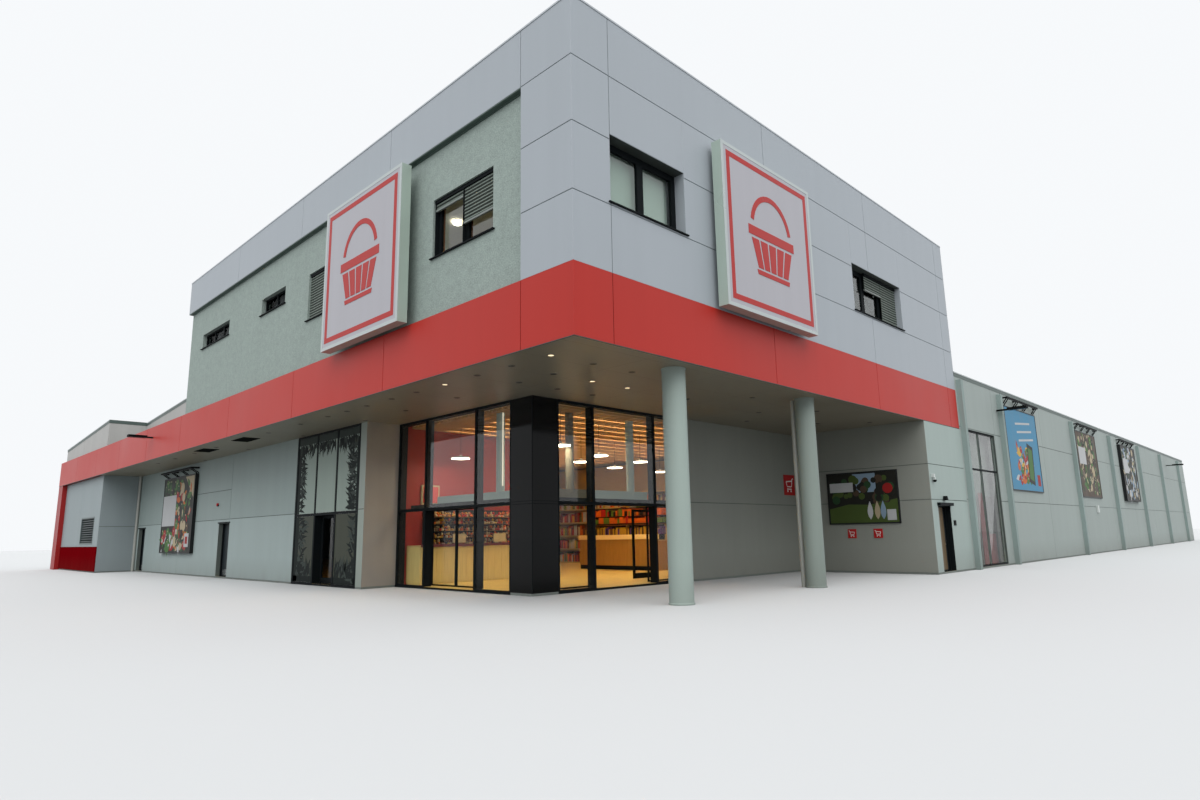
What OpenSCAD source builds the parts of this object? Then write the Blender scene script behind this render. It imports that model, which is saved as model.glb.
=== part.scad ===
// Supermarket building, scale model at 1:2, lengths in millimetres.
// Helper axes: u runs from the near corner along the front (towards -X),
// v runs from the front plane back along the side (+Y), z is height.

/* [Building] */
// Length of the front, near corner to far end
front_l = 23900; // [20000:10:30000]
// Length of the side, near corner to rear wall
side_l = 38700; // [36000:10:60000]
// Thickness of the outer walls
wall_t = 140; // [100:5:200]
// Thickness of the ground floor slab
slab_t = 30; // [20:1:40]
// Gap at a seat, such as a runner, a pivot or the underside of a roof
seat_gap = 0.3; // [0.2:0.05:0.5]

/* [Canopy and fascia] */
// Height of the underside of the canopy
soffit_z = 2560; // [2450:5:2650]
// Height of the top edge of the fascia
fascia_top = 3290; // [3100:5:3450]
// Thickness of the fascia
fascia_t = 130; // [100:5:160]
// Thickness of the soffit panels
soffit_t = 30; // [20:1:50]
// Thickness of the upper floor and canopy deck
deck_t = 120; // [80:5:200]
// Depth of the recessed front wall behind the fascia
recess_v = 1030; // [900:5:1200]
// Distance of the inner corner of the front wing from the near corner
recess_u = 18600; // [18500:5:19000]

/* [Upper block] */
// Length of the upper block along the front
block_u = 11700; // [11200:5:12300]
// Depth of the upper block along the side
block_v = 9800; // [9700:5:10600]
// Height of the parapet
parapet_z = 6140; // [5800:5:6600]
// Height of the lower edge of the white top band
band_z = 5450; // [5200:5:5600]
// Width of the clad strip at the near corner
corner_strip = 775; // [400:5:1000]
// Thickness of the cladding on the upper walls
clad_t = 60; // [30:1:100]
// Thickness of the parapet coping
coping_t = 20; // [10:1:40]
// Overhang of the coping and the roof trims
trim_lip = 12; // [5:1:25]
// Height of the parapet above the upper roof
parapet_rise = 150; // [100:5:300]
// Thickness of the upper roof
upper_roof_t = 60; // [40:1:120]

/* [Upper windows] */
// Sill height of the office windows
office_z = 4030; // [3900:5:4100]
// Height of the office windows
office_h = 760; // [500:5:900]
// Sill height of the high windows
high_z = 4540; // [4200:5:4700]
// Height of the high windows
high_h = 305; // [200:5:500]
// Start of the first front window
front_win1_u = 1330; // [1000:5:1500]
// Width of the first two front windows
front_win_w = 1200; // [900:5:1300]
// Start of the second front window
front_win2_u = 4815; // [4000:5:5200]
// Start of the first high window
high_win1_u = 6915; // [6500:5:7500]
// Width of the first high window
high_win1_w = 990; // [600:5:1200]
// Distance of the second high window from the left end of the block
high_win2_off = 755; // [500:5:1200]
// Width of the second high window
high_win2_w = 1480; // [800:5:1600]
// Start of the first side window
side_win1_v = 530; // [400:5:700]
// Width of the first side window
side_win1_w = 1215; // [900:5:1400]
// Start of the second side window
side_win2_v = 5885; // [5200:5:6500]
// Width of the second side window
side_win2_w = 1745; // [1200:5:2000]
// Width of the outer frame bars of the office windows
win_bar = 75; // [40:1:90]
// Width of the mullions of the office windows
win_mullion = 100; // [60:1:120]
// Width of the frame bars of the high windows and the tall side window
thin_bar = 32; // [20:1:50]
// Depth of the window frame bars
win_bar_d = 40; // [30:1:60]
// Depth of the window reveals
win_reveal = 70; // [20:1:90]
// Thickness of the window sills
sill_t = 14; // [8:1:30]
// Overhang of the window sills
sill_lip = 28; // [10:1:50]
// Length of the sills beyond each side of the window
sill_end = 35; // [10:1:60]

/* [Hall] */
// Height of the left eaves
eave_left_z = 3732; // [3650:2:3850]
// Height of the right eaves
eave_right_z = 3640; // [3600:2:3800]
// Height of the hall roof ridge
ridge_z = 4427; // [4200:1:4700]
// Thickness of the hall roof
hall_roof_t = 60; // [40:1:100]
// Height of the roof edge trims
trim_h = 90; // [60:1:140]
// Width of the pilasters
pilaster_w = 115; // [80:5:400]
// Projection of the pilasters
pilaster_d = 95; // [50:5:150]
// Distance of the pilaster tops below the lower eaves
pilaster_drop = 140; // [100:5:300]
// Distance of the first pilaster from the end of the fascia
pilaster_gap = 80; // [20:5:150]
// Distance of the second pilaster from the end of the block
pilaster2_off = 2400; // [2200:5:2700]
// Distance of the third pilaster from the second
pilaster3_off = 5930; // [5000:5:6500]
// Spacing of the pilasters from the third on
pilaster_step = 4630; // [3500:10:6000]
// Spacing of the pilasters on the rear wall
rear_step = 4700; // [4000:10:6000]
// Distance of the tall side window from the end of the block
hall_win_off = 440; // [400:5:600]
// Width of the tall side window
hall_win_w = 1550; // [1000:5:1600]
// Height of the top of the tall side window
hall_win_top = 2590; // [2300:5:2700]
// Height of the transom of the tall side window
hall_transom_z = 1828; // [1600:5:2100]
// Distance of the mullion from the start of the tall side window
hall_mullion = 640; // [400:5:800]
// Depth of the tall side window behind the face of the wall
hall_reveal = 20; // [10:1:70]

/* [Front wing] */
// Width of the red pier at the far end of the front
wing_pier_w = 570; // [400:5:700]
// Distance of the louvre from the inner corner of the wing
louvre_off = 590; // [400:5:1200]
// Width of the louvre
louvre_w = 1530; // [1000:5:1800]
// Sill height of the louvre
louvre_z = 766; // [600:5:900]
// Height of the louvre
louvre_h = 684; // [500:5:900]
// Depth of the louvre slats
louvre_d = 30; // [20:1:60]
// Spacing of the louvre slats
louvre_pitch = 62; // [50:1:90]

/* [Glazing] */
// Width of the frame bars on the ground floor
bar_w = 50; // [40:1:80]
// Depth of the frame bars on the ground floor
bar_d = 60; // [40:1:80]
// Height of the lower edge of the transoms
transom_z = 1150; // [1100:5:1180]
// Height of the transom bars
transom_h = 40; // [30:1:90]
// Height of the head bars under the soffit
head_h = 34; // [25:1:80]
// Height of the bottom rails above the floor
rail_h = 14; // [10:1:80]
// Thickness of the glass panes
glass_t = 8; // [6:1:14]
// Distance of the panes behind the front of their bars
glass_in = 8; // [5:1:20]

/* [Shopfront] */
// Width of the pier between shopfront and corner glass
pier_w = 190; // [120:5:260]
// Width of the shopfront
shop_w = 2345; // [2200:5:2600]
// Distance of the shop door from the pier
shop_door_off = 790; // [600:5:900]
// Width of the shop door bay, centre to centre of its posts
shop_door_w = 755; // [650:5:850]
// Depth of the shop door lining
shop_lining = 160; // [100:5:220]

/* [Corner entrance] */
// Distance of the side glass from the near corner along the front
corner_u = 2510; // [2400:5:2700]
// Distance of the front glass from the near corner along the side
corner_v = 1600; // [1450:5:1750]
// Width of the black panel on the front glass
panel_front_w = 438; // [300:5:600]
// Width of the black panel on the side glass
panel_side_w = 440; // [300:5:500]
// Depth of the frame bars of the entrances
frame_d = 130; // [80:1:160]
// Width of the frame bars beside the black panels
edge_w = 28; // [20:1:60]
// Width of the door posts
post_w = 44; // [36:1:80]
// Clear width of the front door
front_door_w = 1248; // [1000:1:1320]
// Distance of the open front leaf from the black panel
front_park_near = 206; // [120:1:350]
// Distance of the open front leaf from the pier
front_park_far = 198; // [120:1:450]
// Clear width of the side door
side_door_w = 1265; // [1000:1:1320]
// Distance of the open side leaf from the black panel
side_park_near = 75; // [40:1:120]
// Distance of the open side leaf from the end of the side glass
side_park_far = 40; // [10:1:100]
// Thickness of the sliding door leaves
leaf_t = 24; // [18:1:40]
// Lap of the sliding leaves behind the door posts
leaf_lap = 20; // [10:1:40]
// Gap between the two sliding leaves when closed
leaf_gap = 6; // [5:1:10]
// Clearance of the sliding leaves behind the frame
leaf_clear = 10; // [6:1:20]
// Travel of each sliding leaf
leaf_travel = 600; // [400:1:630]
// Width of the stiles and rails of the sliding leaves
slide_stile = 22; // [15:1:40]
// Width of the stiles and rails of the hinged leaf and the draught screen
stile_w = 42; // [25:1:60]
// Height of the door track
track_h = 80; // [40:1:90]

/* [Hinged doors] */
// Start of the first door in the recessed front wall
door1_u = 11560; // [11000:5:12500]
// Width of the first door opening
door1_w = 640; // [500:5:700]
// Distance of the second door from the inner corner of the wing
door2_off = 800; // [720:5:1500]
// Width of the second door opening
door2_w = 620; // [500:5:650]
// Distance of the service door from the poster wall
door3_off = 253; // [200:1:600]
// Width of the service door opening
door3_w = 565; // [500:5:640]
// Height of the hinged door openings
door_h = 1125; // [1000:5:1180]
// Thickness of the hinged door leaves
door_t = 30; // [20:1:45]
// Width of the door frames
jamb_w = 25; // [15:1:40]
// Inset of the hinge pivots from the corner of the leaf
pivot_in = 6; // [6:1:10]
// Radius of the hinge pivots
pivot_r = 5; // [3:0.5:5]
// Clearance around the hinged leaves
door_clear = 8; // [8:1:14]
// Projection of the hood over the service door
hood_d = 60; // [30:1:100]

/* [Side recess] */
// Length of the service corner, from the poster wall to the end of the block
service_corner_l = 1670; // [1400:5:1900]

/* [Columns and pipes] */
// Radius of the canopy columns
column_r = 134; // [90:1:180]
// Distance of the columns from the side plane
column_u = 310; // [280:5:450]
// Position of the first column along the side
column1_v = 1818; // [1600:5:2200]
// Position of the second column along the side
column2_v = 4690; // [4400:5:5200]
// Radius of the drain pipes
pipe_r = 36; // [25:1:38]
// Distance of the drain pipe axes from the face beside them
pipe_off = 44; // [40:1:80]

/* [Signs] */
// Edge length of the square sign boxes
sign_size = 2040; // [1500:5:2100]
// Thickness of the sign boxes
sign_t = 130; // [80:5:200]
// Gap between the sign boxes and the fascia
sign_gap = 70; // [40:5:120]
// Start of the front sign
sign_front_u = 2850; // [2600:5:3000]
// Start of the side sign
sign_side_v = 2225; // [1900:5:2600]
// Thickness of the sign brackets
bracket_t = 50; // [30:1:80]

/* [Poster boards] */
// Thickness of the thin poster boards
poster_t = 25; // [15:1:40]
// Thickness of the front poster board
poster_front_t = 75; // [40:5:100]
// Thickness of the third side poster board
poster_side3_t = 90; // [40:5:100]
// Distance of the front poster from the second door
poster_front_off = 1700; // [500:5:2500]
// Width of the front poster
poster_front_w = 2350; // [2000:5:2800]
// Distance of the front poster below the soffit
poster_front_drop = 250; // [150:5:400]
// Height of the front poster
poster_front_h = 1815; // [1500:5:1900]
// Start of the poster in the side recess
poster_end_u = 526; // [400:5:700]
// Width of the poster in the side recess
poster_end_w = 1311; // [900:5:1500]
// Lower edge of the poster in the side recess
poster_end_z = 847; // [700:5:1000]
// Height of the poster in the side recess
poster_end_h = 919; // [700:5:1100]
// Distance of the first side poster from the second pilaster
poster_side1_off = 350; // [300:1:900]
// Distance of the second side poster from the third pilaster
poster_side2_off = 460; // [350:1:900]
// Distance of the third side poster from the fourth pilaster
poster_side3_off = 1360; // [350:1:1800]
// Width of the side posters
poster_side_w = 2300; // [1800:5:2500]
// Distance of the side posters below the right eaves
poster_side_drop = 324; // [280:1:500]
// Height of the side posters
poster_side_h = 1809; // [1400:5:1850]

/* [Outdoor lamps] */
// Height of the lamp rails above the poster boards
rail_up = 140; // [60:5:160]
// Distance of the front lamp rail from the wall
rail_front_out = 190; // [100:5:240]
// Distance of the side lamp rails from the wall
rail_out = 120; // [60:5:200]
// Thickness of the lamp rails and arms
rail_t = 34; // [14:1:40]
// Number of arms on each lamp rail
rail_arms = 4; // [3:1:8]
// Length of the floodlight arms
flood_arm = 130; // [80:5:600]
// Length of the floodlight heads
flood_head = 360; // [200:5:400]
// Width of the floodlight heads
flood_w = 150; // [120:5:260]
// Height of the floodlight heads
flood_h = 50; // [35:5:120]
// Position of the front floodlight along the front
flood_front_u = 13670; // [12500:5:14500]
// Height of the front floodlight
flood_front_z = 3030; // [2700:5:3100]
// Height of the side floodlights
flood_side_z = 3130; // [2900:5:3300]
// Distance of the near side floodlight before the second pilaster
flood_near_off = 70; // [50:5:400]
// Distance of the far side floodlight before the last pilaster
flood_far_off = 2900; // [1500:5:3500]

/* [Shop fittings] */
// Thickness of the wall between the shops
partition_t = 120; // [80:5:160]
// End of the small shop along the side, where its back wall stands
partition_v = 4400; // [4000:10:4900]
// Height of the counters
counter_z = 606; // [500:2:700]
// Depth of the counters
counter_d = 400; // [300:5:500]
// Start of the bakery counter along the side
bakery_v = 1800; // [1790:5:2200]
// Length of the bakery counter
bakery_l = 2000; // [1200:5:2500]
// Position of the service counter along the side
service_v = 6700; // [6200:5:7000]
// Start of the service counter along the front
service_u = 4780; // [4500:5:5200]
// Length of the service counter
service_l = 2200; // [1500:5:2400]
// Height of the goods shelves
shelf_z = 1180; // [900:5:1300]
// Spacing of the boards in the goods shelves
shelf_pitch = 280; // [200:5:400]
// Distance of the draught screen behind the side glass
screen_in = 990; // [800:5:1200]
// Start of the draught screen along the side
screen_v = 4580; // [4500:5:4800]
// Width of the draught screen
screen_w = 550; // [400:5:700]

/* [Hidden] */
$fn = 48;
roof_k = (2 * ridge_z - eave_left_z - eave_right_z) / front_l;
ridge_u = (ridge_z - eave_right_z) / roof_k;
roof_seat = hall_roof_t + seat_gap;
pilaster_z = min(eave_left_z, eave_right_z) - pilaster_drop;
deck_z = soffit_z + soffit_t;
deck_top = deck_z + deck_t;
wall_in = clad_t + wall_t;
upper_z = parapet_z - coping_t;
upper_roof_top = parapet_z - parapet_rise;
wing_end = front_l - wing_pier_w;
louvre_u = recess_u + louvre_off;
high_win2_u = block_u - high_win2_off - high_win2_w;
leaf_run = leaf_travel + leaf_lap;
front_door_u0 = corner_u + panel_front_w + front_park_near + leaf_run;
front_door_u1 = front_door_u0 + front_door_w;
side_door_v0 = corner_v + panel_side_w + side_park_near + leaf_run;
side_door_v1 = side_door_v0 + side_door_w;
side_end_v = side_door_v1 + leaf_run + side_park_far;
end_wall_v = block_v - service_corner_l;
door2_u = recess_u - door2_off;
door3_v = end_wall_v + door3_off;
pier_u = front_door_u1 + leaf_run + front_park_far;
pier_end = pier_u + pier_w;
shop_end = pier_end + shop_w;
transom_top = transom_z + transom_h;
track_z = transom_z + transom_h / 2;
leaf_top = track_z - leaf_clear;
leaf_z = slab_t + leaf_clear;
front_leaf_w = front_door_w / 2 + leaf_lap - leaf_gap / 2;
side_leaf_w = side_door_w / 2 + leaf_lap - leaf_gap / 2;
front_leaf_v = corner_v + frame_d + leaf_clear;
side_leaf_u = corner_u + frame_d + leaf_clear;
front_mid_u = front_door_u0 + front_door_w / 2;
side_mid_v = side_door_v0 + side_door_w / 2;
shop_post1 = pier_end + shop_door_off;
shop_post2 = shop_post1 + shop_door_w;
hinge_z = slab_t + seat_gap;
hinge_head = door_h - jamb_w;
door_floor = slab_t + door_clear;
sign_back = sign_gap;
sign_front = sign_gap + sign_t;
reach_front = flood_arm + flood_head;
reach_side = pilaster_d + reach_front;
mid_u = (front_l + pilaster_d - reach_side) / 2;
mid_v = (side_l + pilaster_d - reach_front) / 2;
hall_win_v = block_v + hall_win_off;
hall_lights = [[hall_win_v + thin_bar, hall_win_v + hall_mullion - thin_bar / 2],
  [hall_win_v + hall_mullion + thin_bar / 2, hall_win_v + hall_win_w - thin_bar]];
pilaster2_v = block_v + pilaster2_off;
pilaster3_v = pilaster2_v + pilaster3_off;
poster_front_u = door2_u - poster_front_off - poster_front_w;
poster_front_z = soffit_z - poster_front_drop - poster_front_h;
poster_side_z = eave_right_z - poster_side_drop - poster_side_h;
pilasters_v = concat([block_v + pilaster_gap, pilaster2_v],
  [for (v = [pilaster3_v : pilaster_step : side_l - 2 * pilaster_w]) v]);
posters_v = [pilaster2_v + poster_side1_off, pilaster3_v + poster_side2_off,
  pilaster3_v + pilaster_step + poster_side3_off];
offices_u = [[front_win1_u, front_win_w, 2], [front_win2_u, front_win_w, 2]];
highs_u = [[high_win1_u, high_win1_w, 2], [high_win2_u, high_win2_w, 3]];
offices_v = [[side_win1_v, side_win1_w, 2], [side_win2_v, side_win2_w, 3]];
flood_near_v = pilaster2_v - flood_near_off;
flood_far_v = pilasters_v[len(pilasters_v) - 1] - flood_far_off;

// Box between two values of u, v and z.
module blk(u, v, z)
  translate([mid_u - u[1], v[0] - mid_v, z[0]])
    cube([u[1] - u[0], v[1] - v[0], z[1] - z[0]]);

// Upright cylinder at u, v between two heights.
module post(u, v, z, r)
  translate([mid_u - u, v - mid_v, z[0]]) cylinder(r = r, h = z[1] - z[0]);

// Height of the top of the hall roof above u.
function roof_top(u) = u < ridge_u
  ? eave_right_z + roof_k * u
  : eave_left_z + roof_k * (front_l - u);

// Wall between two values of u and v, from height z up to the hall roof.
module under_roof(u, v, z, drop) {
  knee = u[0] < ridge_u && u[1] > ridge_u ? [ridge_u] : [];
  line = concat([u[0]], knee, [u[1]]);
  top = [for (a = line) [mid_u - a, roof_top(a) - drop]];
  base = [[mid_u - u[1], z], [mid_u - u[0], z]];
  translate([0, v[1] - mid_v, 0]) rotate([90, 0, 0])
    linear_extrude(v[1] - v[0]) polygon(concat(top, base));
}

// Flat slab along one slope of the hall roof, above and below its top line.
module roof_slope(u, v, above, below)
  translate([0, v[1] - mid_v, 0]) rotate([90, 0, 0])
    linear_extrude(v[1] - v[0])
      polygon([[mid_u - u[0], roof_top(u[0]) + above],
        [mid_u - u[1], roof_top(u[1]) + above],
        [mid_u - u[1], roof_top(u[1]) - below],
        [mid_u - u[0], roof_top(u[0]) - below]]);

// Slab that follows the hall roof, parted at the ridge.
module roof_slab(u, v, above, below) {
  gap = seat_gap / 2;
  over = u[0] < ridge_u && u[1] > ridge_u;
  first = over ? ridge_u : u[1];
  roof_slope([u[0] + gap, first - gap], v, above, below);
  if (over) roof_slope([ridge_u + gap, u[1] - gap], v, above, below);
}

// Equal lights of a window that starts at s, between its bars and mullions.
function lights(s, w, n, bar, mull) = [for (i = [0 : n - 1])
  [i == 0 ? s + bar : s + w * i / n + mull / 2,
   i == n - 1 ? s + w - bar : s + w * (i + 1) / n - mull / 2]];

// Rectangular frame across u round its lights, facing the front.
module frame_u(u, v, z, bar, open) difference() {
  blk(u, v, z);
  for (p = open)
    blk(p, [v[0] - 1, v[1] + 1], [z[0] + bar, z[1] - bar]);
}

// Rectangular frame along v round its lights, facing the side.
module frame_v(u, v, z, bar, open) difference() {
  blk(u, v, z);
  for (p = open)
    blk([u[0] - 1, u[1] + 1], p, [z[0] + bar, z[1] - bar]);
}

// Glazed leaf: frame with a thinner pane in one piece, facing the front.
module leaf_u(u, v, z, stile, foot) {
  mid = (v[0] + v[1]) / 2;
  light = [u[0] + stile, u[1] - stile];
  difference() {
    blk(u, v, z);
    blk(light, [v[0] - 1, v[1] + 1], [z[0] + foot, z[1] - stile]);
  }
  blk(light, [mid - glass_t / 2, mid + glass_t / 2],
    [z[0] + foot, z[1] - stile]);
}

// Glazed leaf facing the side.
module leaf_v(u, v, z, stile, foot) {
  mid = (u[0] + u[1]) / 2;
  light = [v[0] + stile, v[1] - stile];
  difference() {
    blk(u, v, z);
    blk([u[0] - 1, u[1] + 1], light, [z[0] + foot, z[1] - stile]);
  }
  blk([mid - glass_t / 2, mid + glass_t / 2], light,
    [z[0] + foot, z[1] - stile]);
}

// Flat plate with an outline in u and v.
module plate(outline, z)
  translate([0, 0, z[0]]) linear_extrude(z[1] - z[0])
    polygon([for (p = outline) [mid_u - p[0], p[1] - mid_v]]);

// Hall and ground floor
module floor_slab() color("Tan")
  plate([[0, end_wall_v], [corner_u, end_wall_v], [corner_u, corner_v],
    [pier_u, corner_v], [pier_u, recess_v], [recess_u, recess_v],
    [recess_u, fascia_t], [front_l, fascia_t], [front_l, side_l],
    [0, side_l]], [0, slab_t]);

module hall_left_wall() color("Gainsboro")
  under_roof([front_l - wall_t, front_l], [fascia_t, side_l - wall_t],
    slab_t, roof_seat);

module hall_rear_wall() color("Gainsboro")
  under_roof([0, front_l], [side_l - wall_t, side_l], slab_t, roof_seat);

module hall_right_wall() color("Gainsboro") difference() {
  under_roof([0, wall_t], [block_v, side_l - wall_t], slab_t, roof_seat);
  blk([-1, wall_t + 1], [hall_win_v, hall_win_v + hall_win_w],
    [0, hall_win_top]);
}

module hall_roof() color("DimGray") {
  roof_slab([recess_u, front_l], [fascia_t, side_l], 0, hall_roof_t);
  roof_slab([block_u, recess_u], [recess_v, side_l], 0, hall_roof_t);
  roof_slab([0, block_u], [block_v, side_l], 0, hall_roof_t);
}

module roof_trim() color("DarkSlateGray") {
  low = trim_h - trim_lip;
  roof_slab([recess_u, front_l], [fascia_t - trim_lip, fascia_t],
    trim_lip, low);
  roof_slab([recess_u - trim_lip, recess_u],
    [fascia_t - trim_lip, recess_v], trim_lip, low);
  roof_slab([block_u, recess_u - trim_lip],
    [recess_v - trim_lip, recess_v], trim_lip, low);
  roof_slab([front_l, front_l + trim_lip],
    [fascia_t - trim_lip, side_l + trim_lip], trim_lip, low);
  roof_slab([0, front_l], [side_l, side_l + trim_lip], trim_lip, low);
  roof_slab([-trim_lip, 0], [block_v, side_l + trim_lip], trim_lip, low);
}

module pilasters() color("Silver") {
  for (v = pilasters_v) {
    blk([-pilaster_d, 0], [v, v + pilaster_w], [0, pilaster_z]);
    blk([front_l, front_l + pilaster_d], [v, v + pilaster_w],
      [0, pilaster_z]);
  }
  for (u = [rear_step / 2 : rear_step : front_l - pilaster_w])
    blk([u, u + pilaster_w], [side_l, side_l + pilaster_d],
      [0, pilaster_z]);
}

module hall_window() color("DimGray") {
  u = [hall_reveal, hall_reveal + win_bar_d];
  v = [hall_win_v, hall_win_v + hall_win_w];
  frame_v(u, v, [slab_t, hall_win_top], thin_bar, hall_lights);
  blk(u, [v[0] + thin_bar / 2, v[1] - thin_bar / 2],
    [hall_transom_z, hall_transom_z + thin_bar]);
}

module recess_wall_lower() color("LightGray") {
  v = [recess_v, recess_v + wall_t];
  z = [slab_t, door_h];
  blk([shop_end, door1_u], v, z);
  blk([door1_u + door1_w, door2_u], v, z);
  blk([door2_u + door2_w, recess_u + wall_t], v, z);
}

module recess_wall_upper() color("LightGray") {
  v = [recess_v, recess_v + wall_t];
  under_roof([block_u, recess_u + wall_t], v, door_h, roof_seat);
  blk([shop_end, block_u], v, [door_h, soffit_z]);
}

module wing_wall() color("LightGray") difference() {
  under_roof([recess_u, front_l - wall_t], [fascia_t, fascia_t + wall_t],
    slab_t, roof_seat);
  blk([louvre_u, louvre_u + louvre_w], [fascia_t - 1, fascia_t + wall_t + 1],
    [louvre_z, louvre_z + louvre_h]);
}

module wing_side_wall() color("LightGray")
  under_roof([recess_u, recess_u + wall_t], [fascia_t + wall_t, recess_v],
    slab_t, roof_seat);

module wing_pier() color("Crimson")
  blk([wing_end, front_l], [0, fascia_t], [0, soffit_z]);

module wing_louvre() color("Gray") {
  u = [louvre_u, louvre_u + louvre_w];
  z = [louvre_z, louvre_z + louvre_h];
  v = [fascia_t, fascia_t + louvre_d];
  difference() {
    blk(u, v, z);
    blk([u[0] + jamb_w, u[1] - jamb_w], [v[0] - 1, v[1] + 1],
      [z[0] + jamb_w, z[1] - jamb_w]);
  }
  for (h = [z[0] + jamb_w + louvre_pitch / 4 : louvre_pitch :
      z[1] - jamb_w - louvre_pitch * 3 / 4])
    blk([u[0] + jamb_w / 2, u[1] - jamb_w / 2],
      [v[0] + louvre_d / 4, v[1] - louvre_d / 4],
      [h, h + louvre_pitch / 2]);
}

// Canopy and upper block
module overhang(z)
  plate([[fascia_t, fascia_t], [recess_u, fascia_t], [recess_u, recess_v],
    [block_u, recess_v], [block_u, block_v], [fascia_t, block_v]], z);

module soffit() color("RosyBrown") overhang([soffit_z, deck_z]);

module upper_floor() color("DarkGray") overhang([deck_z, deck_top]);

module front_fascia() color("Red")
  blk([0, front_l], [0, fascia_t], [soffit_z, fascia_top]);

module side_fascia() color("Red")
  blk([0, fascia_t], [fascia_t, block_v], [soffit_z, fascia_top]);

module front_upper_wall() color("DarkSeaGreen") difference() {
  blk([clad_t, block_u], [clad_t, wall_in], [fascia_top, upper_z]);
  for (w = offices_u)
    blk([w[0], w[0] + w[1]], [clad_t - 1, wall_in + 1],
      [office_z, office_z + office_h]);
  for (w = highs_u)
    blk([w[0], w[0] + w[1]], [clad_t - 1, wall_in + 1],
      [high_z, high_z + high_h]);
}

module side_upper_wall() color("WhiteSmoke") difference() {
  blk([clad_t, wall_in], [wall_in, block_v - wall_t], [fascia_top, upper_z]);
  for (w = offices_v)
    blk([clad_t - 1, wall_in + 1], [w[0], w[0] + w[1]],
      [office_z, office_z + office_h]);
}

module left_upper_wall() color("WhiteSmoke")
  blk([block_u - wall_t, block_u], [wall_in, block_v], [deck_top, upper_z]);

module rear_upper_wall() color("WhiteSmoke")
  blk([fascia_t, block_u - wall_t], [block_v - wall_t, block_v],
    [deck_top, upper_z]);

module front_cladding() color("White") {
  far = block_u + clad_t;
  blk([0, corner_strip], [0, clad_t], [fascia_top, upper_z]);
  blk([0, far], [0, clad_t], [band_z, upper_z]);
  blk([block_u, far], [0, block_v], [band_z, upper_z]);
}

module side_cladding() color("White") difference() {
  blk([0, clad_t], [clad_t, block_v], [fascia_top, upper_z]);
  for (w = offices_v)
    blk([-1, clad_t + 1], [w[0], w[0] + w[1]],
      [office_z, office_z + office_h]);
}

module upper_roof() color("DimGray")
  blk([wall_in, block_u - wall_t], [wall_in, block_v - wall_t],
    [upper_roof_top - upper_roof_t, upper_roof_top]);

module parapet_coping() color("Silver") difference() {
  blk([-trim_lip, block_u + clad_t + trim_lip],
    [-trim_lip, block_v + trim_lip], [upper_z, parapet_z]);
  blk([wall_in + trim_lip, block_u - wall_t - trim_lip],
    [wall_in + trim_lip, block_v - wall_t - trim_lip],
    [upper_z - 1, parapet_z + 1]);
}

// Window in the front of the upper block: frame, and sill with its lip.
module front_window(w, z, h, bar, mull) {
  u = [w[0], w[0] + w[1]];
  v = [clad_t + win_reveal, clad_t + win_reveal + win_bar_d];
  frame_u(u, v, [z + sill_t, z + h], bar, lights(w[0], w[1], w[2], bar, mull));
  blk(u, [clad_t - 1, v[1]], [z, z + sill_t]);
  blk([u[0] - sill_end, u[1] + sill_end], [clad_t - sill_lip, clad_t],
    [z, z + sill_t]);
}

// Window in the side of the upper block: frame, and sill with its lip.
module side_window(w, z, h, bar, mull) {
  u = [clad_t + win_reveal, clad_t + win_reveal + win_bar_d];
  v = [w[0], w[0] + w[1]];
  frame_v(u, v, [z + sill_t, z + h], bar, lights(w[0], w[1], w[2], bar, mull));
  blk([-1, u[1]], v, [z, z + sill_t]);
  blk([-sill_lip, 0], [v[0] - sill_end, v[1] + sill_end], [z, z + sill_t]);
}

module upper_windows() color("DarkSlateGray") {
  for (w = offices_u) front_window(w, office_z, office_h, win_bar, win_mullion);
  for (w = highs_u) front_window(w, high_z, high_h, thin_bar, thin_bar);
  for (w = offices_v) side_window(w, office_z, office_h, win_bar, win_mullion);
}

// Panes of a window in the front of the upper block.
module front_pane(w, z, h, bar, mull) {
  v = clad_t + win_reveal + win_bar_d / 2;
  for (p = lights(w[0], w[1], w[2], bar, mull))
    blk(p, [v - glass_t / 2, v + glass_t / 2], [z + sill_t + bar, z + h - bar]);
}

module upper_glass() color("LightBlue", 0.5) {
  u = clad_t + win_reveal + win_bar_d / 2;
  for (w = offices_u) front_pane(w, office_z, office_h, win_bar, win_mullion);
  for (w = highs_u) front_pane(w, high_z, high_h, thin_bar, thin_bar);
  for (w = offices_v)
    for (p = lights(w[0], w[1], w[2], win_bar, win_mullion))
      blk([u - glass_t / 2, u + glass_t / 2], p,
        [office_z + sill_t + win_bar, office_z + office_h - win_bar]);
}

module canopy_columns() color("Gainsboro") {
  post(column_u, column1_v, [0, soffit_z], column_r);
  post(column_u, column2_v, [0, soffit_z], column_r);
}

module drain_pipes() color("LightGray") {
  post(column_u + column_r + pipe_off, column2_v, [0, soffit_z], pipe_r);
  post(recess_u - pipe_off, recess_v - pipe_off, [0, soffit_z], pipe_r);
}

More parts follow.
